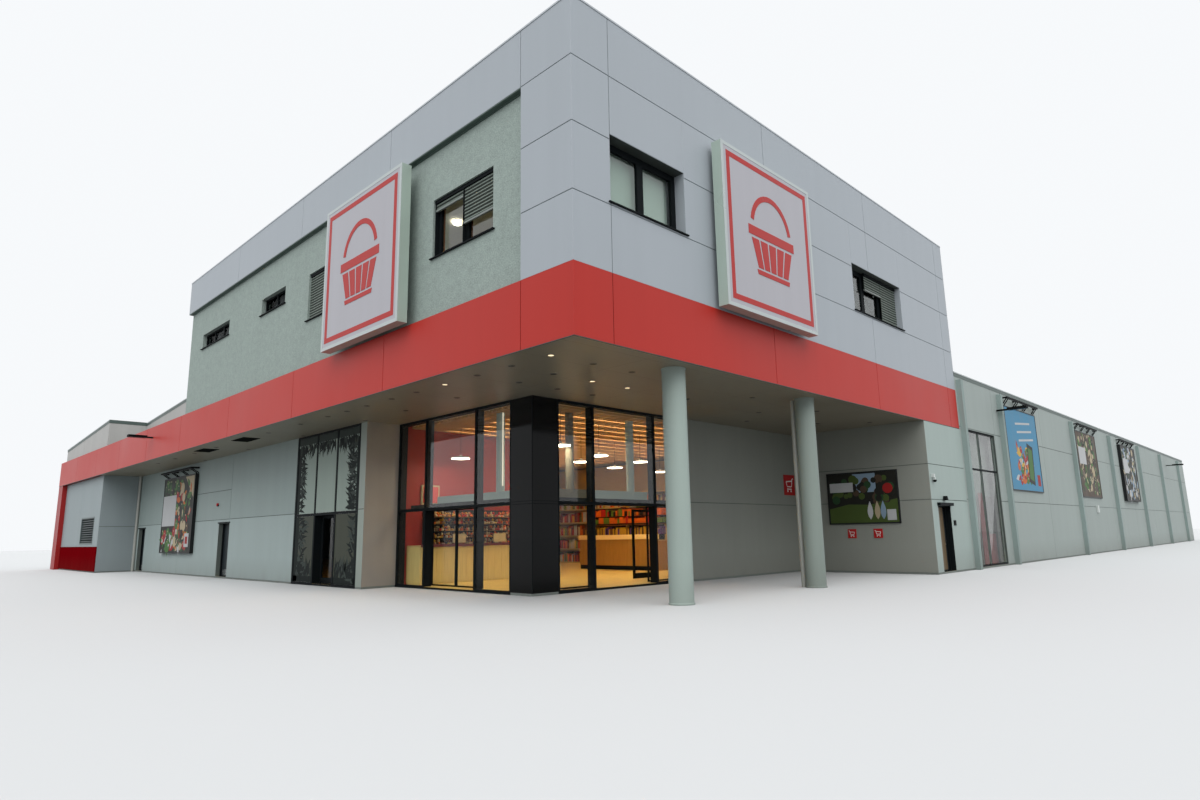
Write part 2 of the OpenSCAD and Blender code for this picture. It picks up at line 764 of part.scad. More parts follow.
// Ground floor glazing
module shopfront_frame() color("DarkSlateGray") {
  v = [recess_v, recess_v + bar_d];
  deep = [recess_v, recess_v + shop_lining];
  edges = [[pier_end, pier_end + bar_w], [shop_end - bar_w, shop_end]];
  doors = [[shop_post1 - bar_w / 2, shop_post1 + bar_w / 2],
    [shop_post2 - bar_w / 2, shop_post2 + bar_w / 2]];
  for (u = edges) blk(u, v, [slab_t, soffit_z]);
  for (u = doors) {
    blk(u, v, [slab_t, soffit_z]);
    blk(u, deep, [slab_t, transom_top]);
  }
  blk([pier_end, shop_end], v, [transom_z, transom_top]);
  blk([pier_end, shop_end], v, [soffit_z - head_h, soffit_z]);
  blk([doors[0][0], doors[1][1]], deep, [transom_z, transom_top]);
  blk([pier_end, doors[0][0]], v, [slab_t, slab_t + rail_h]);
  blk([doors[1][1], shop_end], v, [slab_t, slab_t + rail_h]);
}

module front_entrance_frame() color("DarkSlateGray") {
  v = [corner_v, corner_v + frame_d];
  sill = [corner_v, corner_v + bar_d];
  back = v[1] + 2 * leaf_clear + leaf_t;
  start = corner_u + panel_front_w;
  door = [front_door_u0, front_door_u1];
  blk([start, start + edge_w], v, [slab_t, soffit_z]);
  blk([door[0] - post_w, door[0]], v, [slab_t, soffit_z]);
  blk([door[1], door[1] + post_w], v, [slab_t, soffit_z]);
  blk([pier_u - bar_w, pier_u], v, [slab_t, soffit_z]);
  blk([start, pier_u], v, [transom_z, transom_top]);
  blk([start, pier_u], v, [soffit_z - head_h, soffit_z]);
  blk([start, door[0]], sill, [slab_t, slab_t + rail_h]);
  blk([door[1], pier_u], sill, [slab_t, slab_t + rail_h]);
  blk([door[0] - leaf_run, door[1] + leaf_run], [v[1] - 1, back],
    [track_z, track_z + track_h]);
}

module side_entrance_frame() color("DarkSlateGray") {
  u = [corner_u, corner_u + frame_d];
  sill = [corner_u, corner_u + bar_d];
  back = u[1] + 2 * leaf_clear + leaf_t;
  start = corner_v + panel_side_w;
  door = [side_door_v0, side_door_v1];
  blk(u, [start, start + edge_w], [slab_t, soffit_z]);
  blk(u, [door[0] - post_w, door[0]], [slab_t, soffit_z]);
  blk(u, [door[1], door[1] + post_w], [slab_t, soffit_z]);
  blk(u, [side_end_v - bar_w, side_end_v], [slab_t, soffit_z]);
  blk(u, [start, side_end_v], [transom_z, transom_top]);
  blk(u, [start, side_end_v], [soffit_z - head_h, soffit_z]);
  blk(sill, [start, door[0]], [slab_t, slab_t + rail_h]);
  blk(sill, [door[1], side_end_v], [slab_t, slab_t + rail_h]);
  blk([u[1] - 1, back], [door[0] - leaf_run, door[1] + leaf_run],
    [track_z, track_z + track_h]);
}

module entrance_pier() color("WhiteSmoke")
  blk([pier_u, pier_end], [recess_v, corner_v + bar_d], [slab_t, soffit_z]);

// Panes across u, low and high, near the front of a frame.
module pane_u(u, v, low) {
  at = [v + glass_in, v + glass_in + glass_t];
  if (low) blk(u, at, [slab_t + rail_h, transom_z]);
  blk(u, at, [transom_top, soffit_z - head_h]);
}

// Panes along v, low and high, near the front of a frame.
module pane_v(u, v, low) {
  at = [u + glass_in, u + glass_in + glass_t];
  if (low) blk(at, v, [slab_t + rail_h, transom_z]);
  blk(at, v, [transom_top, soffit_z - head_h]);
}

module ground_glass() color("LightBlue", 0.5) {
  wu = hall_reveal + win_bar_d / 2;
  pane_u([pier_end + bar_w, shop_post1 - bar_w / 2], recess_v, true);
  pane_u([shop_post1 + bar_w / 2, shop_post2 - bar_w / 2], recess_v, false);
  pane_u([shop_post2 + bar_w / 2, shop_end - bar_w], recess_v, true);
  pane_u([corner_u + panel_front_w + edge_w, front_door_u0 - post_w],
    corner_v, true);
  pane_u([front_door_u0, front_door_u1], corner_v, false);
  pane_u([front_door_u1 + post_w, pier_u - bar_w], corner_v, true);
  pane_v(corner_u, [corner_v + panel_side_w + edge_w, side_door_v0 - post_w],
    true);
  pane_v(corner_u, [side_door_v0, side_door_v1], false);
  pane_v(corner_u, [side_door_v1 + post_w, side_end_v - bar_w], true);
  for (v = hall_lights)
    for (z = [[slab_t + thin_bar, hall_transom_z],
        [hall_transom_z + thin_bar, hall_win_top - thin_bar]])
      blk([wu - glass_t / 2, wu + glass_t / 2], v, z);
}

module corner_panels() color("Black") {
  blk([corner_u, corner_u + panel_front_w], [corner_v, corner_v + bar_d],
    [slab_t, soffit_z]);
  blk([corner_u, corner_u + bar_d], [corner_v + bar_d,
    corner_v + panel_side_w], [slab_t, soffit_z]);
}

// Side recess and service corner
module side_recess_wall() color("LightGray")
  blk([corner_u, corner_u + wall_t], [side_end_v, end_wall_v],
    [slab_t, soffit_z]);

module poster_wall() color("LightGray")
  blk([wall_t, corner_u + wall_t], [end_wall_v, end_wall_v + wall_t],
    [slab_t, soffit_z]);

module service_wall_lower() color("LightGray") {
  blk([0, wall_t], [end_wall_v, door3_v], [slab_t, door_h]);
  blk([0, wall_t], [door3_v + door3_w, block_v], [slab_t, door_h]);
}

module service_wall_upper() color("LightGray")
  blk([0, wall_t], [end_wall_v, block_v], [door_h, soffit_z]);

// Door frame across u, two jambs and a head, ending at inner face v.
module door_frame_u(u, w, v) {
  d = [v - 2 * door_t, v];
  foot = [slab_t, hinge_head - seat_gap];
  blk([u, u + jamb_w], d, foot);
  blk([u + w - jamb_w, u + w], d, foot);
  blk([u, u + w], d, [hinge_head, door_h]);
}

// Door frame along v, two jambs and a head, ending at inner face u.
module door_frame_v(u, v, w) {
  d = [u - 2 * door_t, u];
  foot = [slab_t, hinge_head - seat_gap];
  blk(d, [v, v + jamb_w], foot);
  blk(d, [v + w - jamb_w, v + w], foot);
  blk(d, [v, v + w], [hinge_head, door_h]);
}

module door_frames() color("DimGray") {
  door_frame_u(door1_u, door1_w, recess_v + wall_t);
  door_frame_u(door2_u, door2_w, recess_v + wall_t);
  door_frame_v(wall_t, door3_v, door3_w);
  blk([-hood_d, 0], [door3_v - jamb_w, door3_v + door3_w + jamb_w],
    [door_h, door_h + jamb_w * 2]);
}

// Signs, posters and lamps
module sign_boxes() color("White") {
  z = [fascia_top, fascia_top + sign_size];
  blk([sign_front_u, sign_front_u + sign_size], [-sign_front, -sign_back], z);
  blk([-sign_front, -sign_back], [sign_side_v, sign_side_v + sign_size], z);
  for (a = [1, 4], h = [1, 4]) {
    p = sign_size * a / 5 - bracket_t / 2;
    q = fascia_top + sign_size * h / 5;
    blk([sign_front_u + p, sign_front_u + p + bracket_t],
      [-sign_back, clad_t], [q, q + bracket_t]);
    blk([-sign_back, 0], [sign_side_v + p, sign_side_v + p + bracket_t],
      [q, q + bracket_t]);
  }
}

module poster_boards() color("Gold") {
  blk([poster_front_u, poster_front_u + poster_front_w],
    [recess_v - poster_front_t, recess_v],
    [poster_front_z, poster_front_z + poster_front_h]);
  blk([poster_end_u, poster_end_u + poster_end_w],
    [end_wall_v - poster_t, end_wall_v],
    [poster_end_z, poster_end_z + poster_end_h]);
  for (i = [0 : 2])
    blk([i < 2 ? -poster_t : -poster_side3_t, 0],
      [posters_v[i], posters_v[i] + poster_side_w],
      [poster_side_z, poster_side_z + poster_side_h]);
}

module wall_lamps() color("Gray") {
  fz = poster_front_z + poster_front_h + 4 * rail_up / 5;
  sz = poster_side_z + poster_side_h + rail_up;
  gap_f = (poster_front_w - rail_t) / (rail_arms - 1);
  gap_s = (poster_side_w - rail_t) / (rail_arms - 1);
  blk([poster_front_u, poster_front_u + poster_front_w],
    [recess_v - rail_front_out, recess_v - rail_front_out + rail_t],
    [fz, fz + rail_t]);
  for (i = [0 : rail_arms - 1])
    blk([poster_front_u + i * gap_f, poster_front_u + i * gap_f + rail_t],
      [recess_v - rail_front_out, recess_v], [fz, fz + rail_t]);
  for (v = posters_v) {
    blk([-rail_out, -rail_out + rail_t], [v, v + poster_side_w],
      [sz, sz + rail_t]);
    for (i = [0 : rail_arms - 1])
      blk([-rail_out, 0], [v + i * gap_s, v + i * gap_s + rail_t],
        [sz, sz + rail_t]);
  }
  blk([flood_front_u - rail_t / 2, flood_front_u + rail_t / 2],
    [-flood_arm, 0], [flood_front_z, flood_front_z + rail_t]);
  blk([flood_front_u - flood_w / 2, flood_front_u + flood_w / 2],
    [-reach_front, -flood_arm], [flood_front_z, flood_front_z + flood_h]);
  side_flood(flood_near_v);
  side_flood(flood_far_v);
}

// Floodlight on the side: its arm from the wall, and its head.
module side_flood(v) {
  z = flood_side_z;
  blk([-pilaster_d - flood_arm, 0], [v - rail_t / 2, v + rail_t / 2],
    [z, z + rail_t]);
  blk([-reach_side, -pilaster_d - flood_arm],
    [v - flood_w / 2, v + flood_w / 2], [z, z + flood_h]);
}

// Shop fittings seen through the glass
module shop_partition() color("Firebrick") {
  blk([pier_u, pier_u + partition_t],
    [corner_v + bar_d, partition_v], [slab_t, soffit_z]);
  blk([pier_u, shop_end], [partition_v - partition_t, partition_v],
    [slab_t, soffit_z]);
}

module counters() color("Peru") {
  blk([pier_u - counter_d, pier_u], [bakery_v, bakery_v + bakery_l],
    [slab_t, counter_z]);
  blk([service_u, service_u + service_l], [service_v, service_v + counter_d],
    [slab_t, counter_z]);
}

module goods_shelves() color("Sienna") {
  u = [service_u, service_u + service_l];
  v = service_v + 3 * counter_d;
  blk(u, [v + counter_d, v + counter_d + leaf_t], [slab_t, shelf_z]);
  for (z = [slab_t : shelf_pitch : shelf_z - leaf_t])
    blk(u, [v, v + counter_d], [z, z + leaf_t]);
}

module draught_screen() color("DarkSlateGray")
  leaf_v([corner_u + screen_in, corner_u + screen_in + leaf_t],
    [screen_v, screen_v + screen_w], [slab_t, transom_z], stile_w,
    2 * stile_w);

// Sliding leaves, each with two hangers under the track
module hangers_u(u, v)
  for (a = [u[0] + stile_w, u[1] - 2 * stile_w])
    blk([a, a + stile_w], v, [leaf_top - 1, track_z - seat_gap]);

module hangers_v(u, v)
  for (a = [v[0] + stile_w, v[1] - 2 * stile_w])
    blk(u, [a, a + stile_w], [leaf_top - 1, track_z - seat_gap]);

module front_leaf_left() color("LightSlateGray") {
  u = [front_mid_u + leaf_gap / 2, front_mid_u + leaf_gap / 2 + front_leaf_w];
  v = [front_leaf_v, front_leaf_v + leaf_t];
  leaf_u(u, v, [leaf_z, leaf_top], slide_stile, slide_stile);
  hangers_u(u, v);
}

module front_leaf_right() color("LightSlateGray") {
  u = [front_mid_u - leaf_gap / 2 - front_leaf_w, front_mid_u - leaf_gap / 2];
  v = [front_leaf_v, front_leaf_v + leaf_t];
  leaf_u(u, v, [leaf_z, leaf_top], slide_stile, slide_stile);
  hangers_u(u, v);
}

module side_leaf_near() color("LightSlateGray") {
  end = side_mid_v - leaf_gap / 2 - leaf_travel;
  u = [side_leaf_u, side_leaf_u + leaf_t];
  leaf_v(u, [end - side_leaf_w, end], [leaf_z, leaf_top], slide_stile,
    slide_stile);
  hangers_v(u, [end - side_leaf_w, end]);
}

module side_leaf_far() color("LightSlateGray") {
  start = side_mid_v + leaf_gap / 2 + leaf_travel;
  u = [side_leaf_u, side_leaf_u + leaf_t];
  leaf_v(u, [start, start + side_leaf_w], [leaf_z, leaf_top], slide_stile,
    slide_stile);
  hangers_v(u, [start, start + side_leaf_w]);
}

// Hinged leaves, with pivots at the corner towards the inside
module shop_door() color("LightSlateGray") {
  u = [shop_post1 + bar_w / 2 + door_clear, shop_post2 - bar_w / 2 - door_clear];
  inner = recess_v + shop_lining;
  head = transom_z - door_clear;
  leaf_u(u, [inner - door_t, inner], [door_floor, head], stile_w,
    2 * stile_w);
  post(u[1] - pivot_in, inner - pivot_in, [hinge_z, door_floor + 1], pivot_r);
  post(u[1] - pivot_in, inner - pivot_in, [head - 1, transom_z - seat_gap],
    pivot_r);
}

// Solid leaf in the recessed front wall.
module solid_door(start, w) {
  u = [start + jamb_w + door_clear, start + w - jamb_w - door_clear];
  inner = recess_v + wall_t;
  head = hinge_head - door_clear;
  blk(u, [inner - door_t, inner], [door_floor, head]);
  post(u[1] - pivot_in, inner - pivot_in, [hinge_z, door_floor + 1], pivot_r);
  post(u[1] - pivot_in, inner - pivot_in, [head - 1, hinge_head - seat_gap],
    pivot_r);
}

module plant_door() color("SlateGray") solid_door(door1_u, door1_w);

module wing_door() color("SlateGray") solid_door(door2_u, door2_w);

module service_door() color("SlateGray") {
  v = [door3_v + jamb_w + door_clear, door3_v + door3_w - jamb_w - door_clear];
  head = hinge_head - door_clear;
  blk([wall_t - door_t, wall_t], v, [door_floor, head]);
  post(wall_t - pivot_in, v[0] + pivot_in, [hinge_z, door_floor + 1], pivot_r);
  post(wall_t - pivot_in, v[0] + pivot_in, [head - 1, hinge_head - seat_gap],
    pivot_r);
}

floor_slab();
hall_left_wall();
hall_rear_wall();
hall_right_wall();
hall_roof();
roof_trim();
pilasters();
hall_window();
recess_wall_lower();
recess_wall_upper();
wing_wall();
wing_side_wall();
wing_pier();
wing_louvre();
soffit();
upper_floor();
front_fascia();
side_fascia();
front_upper_wall();
side_upper_wall();
left_upper_wall();
rear_upper_wall();
front_cladding();
side_cladding();
upper_roof();
parapet_coping();
upper_windows();
upper_glass();
canopy_columns();
drain_pipes();
shopfront_frame();
front_entrance_frame();
side_entrance_frame();
entrance_pier();
ground_glass();
corner_panels();
side_recess_wall();
poster_wall();
service_wall_lower();
service_wall_upper();
door_frames();
sign_boxes();
poster_boards();
wall_lamps();
shop_partition();
counters();
goods_shelves();
draught_screen();
front_leaf_left();
front_leaf_right();
side_leaf_near();
side_leaf_far();
shop_door();
plant_door();
wing_door();
service_door();
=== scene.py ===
"""A supermarket building as a 1:2 model: a long low hall with a clad two-storey corner block."""
import math
import random

import bmesh
import bpy
from mathutils import Matrix, Vector


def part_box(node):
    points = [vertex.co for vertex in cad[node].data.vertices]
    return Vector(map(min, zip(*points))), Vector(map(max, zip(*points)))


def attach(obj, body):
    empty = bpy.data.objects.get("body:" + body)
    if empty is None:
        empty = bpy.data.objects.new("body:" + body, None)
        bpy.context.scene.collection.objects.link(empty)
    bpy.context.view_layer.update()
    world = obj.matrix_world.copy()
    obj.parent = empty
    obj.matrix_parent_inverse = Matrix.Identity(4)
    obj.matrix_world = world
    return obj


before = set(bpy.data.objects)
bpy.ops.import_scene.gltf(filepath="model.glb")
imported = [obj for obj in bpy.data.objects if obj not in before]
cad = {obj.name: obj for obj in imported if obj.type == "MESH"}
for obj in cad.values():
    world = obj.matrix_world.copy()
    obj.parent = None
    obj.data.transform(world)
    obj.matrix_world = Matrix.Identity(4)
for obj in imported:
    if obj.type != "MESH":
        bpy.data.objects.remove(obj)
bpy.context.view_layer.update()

# Shop floor
# A concrete slab with square tan floor tiles set in grey grout. It lies inside the walls
# only, so the slab from the CAD model stays and gets the tiling as its finish.
CORNER = (11.705, -19.1525)


def place(u, v, z):
    """The point u along the front, v along the side and z up from the near corner."""
    return Vector((CORNER[0] - u, CORNER[1] + v, z))


def paint(red, green, blue):
    """A colour as a paint card gives it, 0 to 255, turned into the light it sends back."""
    parts = [c / 255 for c in (red, green, blue)]
    return tuple(c / 12.92 if c <= 0.04045 else ((c + 0.055) / 1.055) ** 2.4 for c in parts) + (1.0,)


def put(tree, kind, inputs=(), **settings):
    """A shader node with its settings; an input takes a value or another node's output."""
    node = tree.nodes.new("ShaderNode" + kind)
    for name, value in settings.items():
        setattr(node, name, value)
    for name, value in dict(inputs).items():
        if isinstance(value, bpy.types.NodeSocket):
            tree.links.new(value, node.inputs[name])
        else:
            node.inputs[name].default_value = value
    return node


def new_group(name, inputs, outputs):
    """An empty node group with its named sockets, and its two end nodes."""
    tree = bpy.data.node_groups.new(name, "ShaderNodeTree")
    for label, kind, value in inputs:
        socket = tree.interface.new_socket(label, in_out="INPUT", socket_type="NodeSocket" + kind)
        socket.default_value = value
    for label, kind in outputs:
        tree.interface.new_socket(label, in_out="OUTPUT", socket_type="NodeSocket" + kind)
    return tree, tree.nodes.new("NodeGroupInput").outputs, tree.nodes.new("NodeGroupOutput").inputs


def maths(tree, operation, a, b=0.0, c=0.0):
    """One sum of up to three values or outputs."""
    return put(tree, "Math", {0: a, 1: b, 2: c}, operation=operation).outputs[0]


def blend(tree, share, first, second):
    """A colour between two others; share runs from 0, all the first, to 1, all the second."""
    return put(tree, "Mix", {0: share, 6: first, 7: second}, data_type="RGBA").outputs[2]


def weathered_group():
    """Clouds, rain streaks, grain and splashed dirt over a plain colour, in metres on the piece."""
    tree, given, out = new_group(
        "weathered face",
        [("Colour", "Color", (0.5, 0.5, 0.5, 1)), ("Roughness", "Float", 0.5),
         ("Cloud Size", "Float", 1.0), ("Clouds", "Float", 0.2),
         ("Streaks", "Float", 0.1), ("Grain Size", "Float", 100.0), ("Grain", "Float", 0.1),
         ("Splash", "Float", 0.0), ("Splash Colour", "Color", (0.10, 0.09, 0.07, 1))],
        [("Colour", "Color"), ("Roughness", "Float"), ("Height", "Float")])
    spot = put(tree, "TexCoord").outputs["Object"]
    cloud = put(tree, "TexNoise", {"Vector": spot, "Scale": given["Cloud Size"], "Detail": 3.0}).outputs[0]
    long = put(tree, "Mapping", {"Vector": spot, "Scale": (5.0, 5.0, 0.35)}).outputs[0]
    streak = put(tree, "TexNoise", {"Vector": long, "Scale": 1.0, "Detail": 4.0}).outputs[0]
    grain = put(tree, "TexNoise", {"Vector": spot, "Scale": given["Grain Size"], "Detail": 2.0}).outputs[0]
    total = maths(tree, "MULTIPLY_ADD", maths(tree, "SUBTRACT", cloud, 0.5), given["Clouds"], 1.0)
    total = maths(tree, "MULTIPLY_ADD", maths(tree, "SUBTRACT", streak, 0.5), given["Streaks"], total)
    total = maths(tree, "MULTIPLY_ADD", maths(tree, "SUBTRACT", grain, 0.5), given["Grain"], total)
    colour = put(tree, "VectorMath", {0: given["Colour"], "Scale": total}, operation="SCALE").outputs[0]
    height = put(tree, "SeparateXYZ", {0: spot}).outputs[2]
    low = put(tree, "MapRange", {0: height, 1: 0.0, 2: 0.45, 3: 1.0, 4: 0.0}).outputs[0]
    dirt = maths(tree, "MULTIPLY", maths(tree, "MULTIPLY", low, streak), given["Splash"])
    mixed = blend(tree, dirt, colour, given["Splash Colour"])
    rough = maths(tree, "MULTIPLY_ADD", maths(tree, "SUBTRACT", cloud, 0.5), 0.25, given["Roughness"])
    tree.links.new(mixed, out["Colour"])
    tree.links.new(rough, out["Roughness"])
    tree.links.new(grain, out["Height"])
    return tree


def grid_group():
    """Square or oblong pieces with joints on a level face, each piece a little lighter or darker."""
    tree, given, out = new_group(
        "laid in a grid",
        [("Colour", "Color", (0.5, 0.5, 0.5, 1)), ("Joint Colour", "Color", (0.1, 0.1, 0.1, 1)),
         ("Long", "Float", 0.3), ("Wide", "Float", 0.3), ("Joint", "Float", 0.006), ("Tone", "Float", 0.1)],
        [("Colour", "Color"), ("Height", "Float")])
    spot = put(tree, "TexCoord").outputs["Object"]
    tone = maths(tree, "SUBTRACT", 1.0, given["Tone"])
    darker = put(tree, "VectorMath", {0: given["Colour"], "Scale": tone}, operation="SCALE").outputs[0]
    brick = put(tree, "TexBrick", {
        "Vector": spot, "Color1": given["Colour"], "Color2": darker, "Mortar": given["Joint Colour"],
        "Scale": 1.0, "Mortar Size": given["Joint"], "Mortar Smooth": 0.2, "Brick Width": given["Long"],
        "Row Height": given["Wide"]}, offset=0.0)
    tree.links.new(brick.outputs["Color"], out["Colour"])
    tree.links.new(maths(tree, "SUBTRACT", 1.0, brick.outputs["Fac"]), out["Height"])
    return tree


WEATHERED = weathered_group()
GRID = grid_group()


def group_node(tree, group, **values):
    """A node group placed in a material with its own values."""
    node = tree.nodes.new("ShaderNodeGroup")
    node.node_tree = group
    for name, value in values.items():
        label = name.replace("_", " ").title()
        if isinstance(value, bpy.types.NodeSocket):
            tree.links.new(value, node.inputs[label])
        else:
            node.inputs[label].default_value = value
    return node


def blank(name):
    """A new material, its node tree and its main shader."""
    made = bpy.data.materials.new(name)
    made.use_nodes = True
    return made, made.node_tree, made.node_tree.nodes["Principled BSDF"]


def finish(name, card, rough=0.5, metal=0.0, clouds=0.2, cloud_size=0.8, streaks=0.1, grain=0.1,
           grain_size=120.0, splash=0.0, bump=0.0, shine=0.5, coat=0.0, laid=None):
    """A material of one paint card colour with its weathering; laid gives it a pattern of joints."""
    made, tree, skin = blank(name)
    first = paint(*card)
    if laid:
        joints = group_node(tree, GRID, colour=first, **laid)
        first = joints.outputs["Colour"]
    worn = group_node(tree, WEATHERED, colour=first, roughness=rough, cloud_size=cloud_size, clouds=clouds,
                      streaks=streaks, grain_size=grain_size, grain=grain, splash=splash)
    tree.links.new(worn.outputs["Colour"], skin.inputs["Base Color"])
    tree.links.new(worn.outputs["Roughness"], skin.inputs["Roughness"])
    skin.inputs["Metallic"].default_value = metal
    skin.inputs["Specular IOR Level"].default_value = shine
    skin.inputs["Coat Weight"].default_value = coat
    if bump:
        raised = joints.outputs["Height"] if laid else worn.outputs["Height"]
        normal = put(tree, "Bump", {"Height": raised, "Strength": bump, "Distance": 0.004})
        tree.links.new(normal.outputs[0], skin.inputs["Normal"])
    return made


def dress(node, *finishes, sort=None):
    """Gives a CAD node its materials; sort names the finish of each face from its direction."""
    mesh = cad[node].data
    mesh.materials.clear()
    for made in finishes:
        mesh.materials.append(made)
    if sort:
        for face in mesh.polygons:
            face.material_index = sort(face.normal)


tiles = finish("shop floor tiles", (238, 204, 112), 0.35, clouds=0.3, grain=0.25, bump=0.3, coat=0.2,
               laid=dict(joint_colour=paint(120, 104, 80), long=0.2, wide=0.2, joint=0.004, tone=0.12))
slab_edge = finish("slab edge concrete", (112, 118, 114), 0.8, clouds=0.3, grain=0.2)
dress("floor_slab", tiles, slab_edge, sort=lambda normal: 0 if normal.z > 0.5 else 1)

# Hall walls
# Long sandwich panels of smooth grey concrete in rows, hung on the frame, with open joints
# between them. Each panel is a thin slab in front of the CAD wall, which shows in the joints.
WIDE, LONG = 23.9, 38.7
EAVES_RIGHT, EAVES_LEFT = 3.640, 3.732
ROOF_FALL = 0.0620084
RIDGE_U = 12.6918
ROOF_DEEP = 0.08
BED = -0.001


def roof_line(u):
    """Height of the top of the hall roof at u."""
    return EAVES_RIGHT + ROOF_FALL * u if u < RIDGE_U else EAVES_LEFT + ROOF_FALL * (WIDE - u)


def under_roof(u):
    """Height at which the wall panels end below the roof sheets at u."""
    return roof_line(u) - 0.07


def facing_front(v):
    """Turns places along and up a front wall at v, and a distance out of it, into points."""
    return lambda a, b, out: place(a, v - out, b)


def facing_side(u):
    """The same for a wall on the side with the open entrance, at u."""
    return lambda a, b, out: place(u - out, a, b)


def facing_left(u):
    """The same for a wall on the left, at u."""
    return lambda a, b, out: place(u + out, a, b)


def facing_rear(v):
    """The same for a wall at the rear, at v."""
    return lambda a, b, out: place(a, v + out, b)


def facing_up(z):
    """The same for a level face seen from above, at z."""
    return lambda a, b, out: place(a, b, z + out)


def facing_down(z):
    """The same for a level face seen from below, at z."""
    return lambda a, b, out: place(a, b, z - out)


def close_up(bm, rings, look):
    """Joins rings of corners into one closed skin with two flat ends."""
    faces = [bm.faces.new(rings[-1]), bm.faces.new(rings[0][::-1])]
    for low, high in zip(rings, rings[1:]):
        for i in range(len(low)):
            j = (i + 1) % len(low)
            faces.append(bm.faces.new((low[i], low[j], high[j], high[i])))
    for face in faces:
        face.material_index = look


def slab(bm, wall, outline, back, front, look=0):
    """A flat piece on a wall: its outline along and up the wall, from back to front."""
    close_up(bm, [[bm.verts.new(wall(a, b, out)) for a, b in outline] for out in (back, front)], look)


def oblong(bm, wall, a, b, back, front, look=0):
    """A slab with four square corners."""
    slab(bm, wall, [(a[0], b[0]), (a[1], b[0]), (a[1], b[1]), (a[0], b[1])], back, front, look)


def block(bm, u, v, z, look=0):
    """A block between two values of u, v and z."""
    oblong(bm, facing_up(0.0), u, v, z[0], z[1], look)


def less_hole(rect, hole):
    """What is left of an oblong when a hole is cut from it, as up to four oblongs."""
    a0, a1, b0, b1 = rect
    c0, c1, d0, d1 = hole
    if c0 >= a1 or c1 <= a0 or d0 >= b1 or d1 <= b0:
        return [rect]
    left = [(a0, c0, b0, b1)] if c0 > a0 else []
    right = [(c1, a1, b0, b1)] if c1 < a1 else []
    low = [(max(a0, c0), min(a1, c1), b0, d0)] if d0 > b0 else []
    high = [(max(a0, c0), min(a1, c1), d1, b1)] if d1 < b1 else []
    return left + right + low + high


def lay_panels(bm, wall, along, up, holes=(), top=None, gap=0.011, out=0.006, look=0):
    """Rows of panels between the joints given along and up a wall, cut round holes and under a roof."""
    half = gap / 2
    for a0, a1 in zip(along, along[1:]):
        for b0, b1 in zip(up, up[1:]):
            rects = [(a0 + half * (a0 != along[0]), a1 - half * (a1 != along[-1]),
                      b0 + half * (b0 != up[0]), b1 - half * (b1 != up[-1]))]
            for hole in holes:
                rects = [piece for rect in rects for piece in less_hole(rect, hole)]
            for c0, c1, d0, d1 in rects:
                if not top:
                    oblong(bm, wall, (c0, c1), (d0, d1), BED, out, look)
                    continue
                levels = (d0 + ROOF_DEEP, d1 + ROOF_DEEP)
                cuts = [(d - EAVES_RIGHT) / ROOF_FALL for d in levels]
                cuts += [WIDE - (d - EAVES_LEFT) / ROOF_FALL for d in levels] + [RIDGE_U]
                stops = sorted([c0, c1] + [c for c in cuts if c0 < c < c1])
                stops = [a for a in stops if top(a) > d0 + 0.004]
                if len(stops) > 1:
                    roof = [(a, min(d1, top(a))) for a in reversed(stops)]
                    slab(bm, wall, [(stops[0], d0), (stops[-1], d0)] + roof, BED, out, look)


def set_piece(name, bm, *finishes, soft=0.0, round_off=False):
    """Turns the made mesh into a piece of the model with its materials."""
    bmesh.ops.recalc_face_normals(bm, faces=bm.faces)
    mesh = bpy.data.meshes.new(name)
    bm.to_mesh(mesh)
    bm.free()
    for made in finishes:
        mesh.materials.append(made)
    piece = bpy.data.objects.new(name, mesh)
    bpy.context.scene.collection.objects.link(piece)
    if round_off:
        for face in mesh.polygons:
            face.use_smooth = True
        mesh.set_sharp_from_angle(angle=math.radians(35))
    if soft:
        edge = piece.modifiers.new("softened edges", "BEVEL")
        edge.width, edge.segments, edge.limit_method = soft, 1, "ANGLE"
    return piece


def concrete(name, card, rough=0.6, **own):
    """Smooth concrete: soft clouds, faint rain streaks and dirt splashed up along the foot."""
    usual = dict(clouds=0.2, streaks=0.14, grain=0.12, splash=0.5, bump=0.15)
    return finish(name, card, rough, **{**usual, **own})


SIDE, LEFT, REAR = facing_side(0.0), facing_left(WIDE), facing_rear(LONG)
HALL_ROWS = [0.03, 1.26, 2.608]
joint_grey = finish("joint between panels", (92, 100, 96), 0.9, grain=0.2)
hall_grey = concrete("hall concrete", (148, 158, 155), 0.62, clouds=0.22, cloud_size=0.6, grain_size=160.0)
for node in ("hall_left_wall", "hall_rear_wall", "hall_right_wall"):
    dress(node, joint_grey)
right = bmesh.new()
lay_panels(right, SIDE, [9.8, 11.84, 15.326, 18.816, 22.306, 25.796, 29.286, 32.776, 36.266, 38.706],
           HALL_ROWS + [3.57], holes=[(10.24, 11.79, 0.0, 2.59)])
piece = set_piece("hall_panels_right", right, hall_grey, soft=0.0015)
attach(piece, "building")
left = bmesh.new()
lay_panels(left, LEFT, [0.13] + [3.42 + 3.528 * i for i in range(10)] + [38.706], HALL_ROWS + [3.66])
piece = set_piece("hall_panels_left", left, hall_grey, soft=0.0015)
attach(piece, "building")
rear = bmesh.new()
lay_panels(rear, REAR, [3.4143 * i for i in range(8)], HALL_ROWS + [3.56, 4.5], top=under_roof)
piece = set_piece("hall_panels_rear", rear, hall_grey, soft=0.0015)
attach(piece, "building")

# Pilasters
# Plain concrete half-columns cast in front of the frame's own columns, on the side, the
# rear and the left. The CAD solids have the whole shape and get the concrete finish.
pilaster_grey = concrete("pilaster concrete", (133, 149, 146), 0.65, clouds=0.3, streaks=0.2, grain=0.15)
dress("pilasters", pilaster_grey)

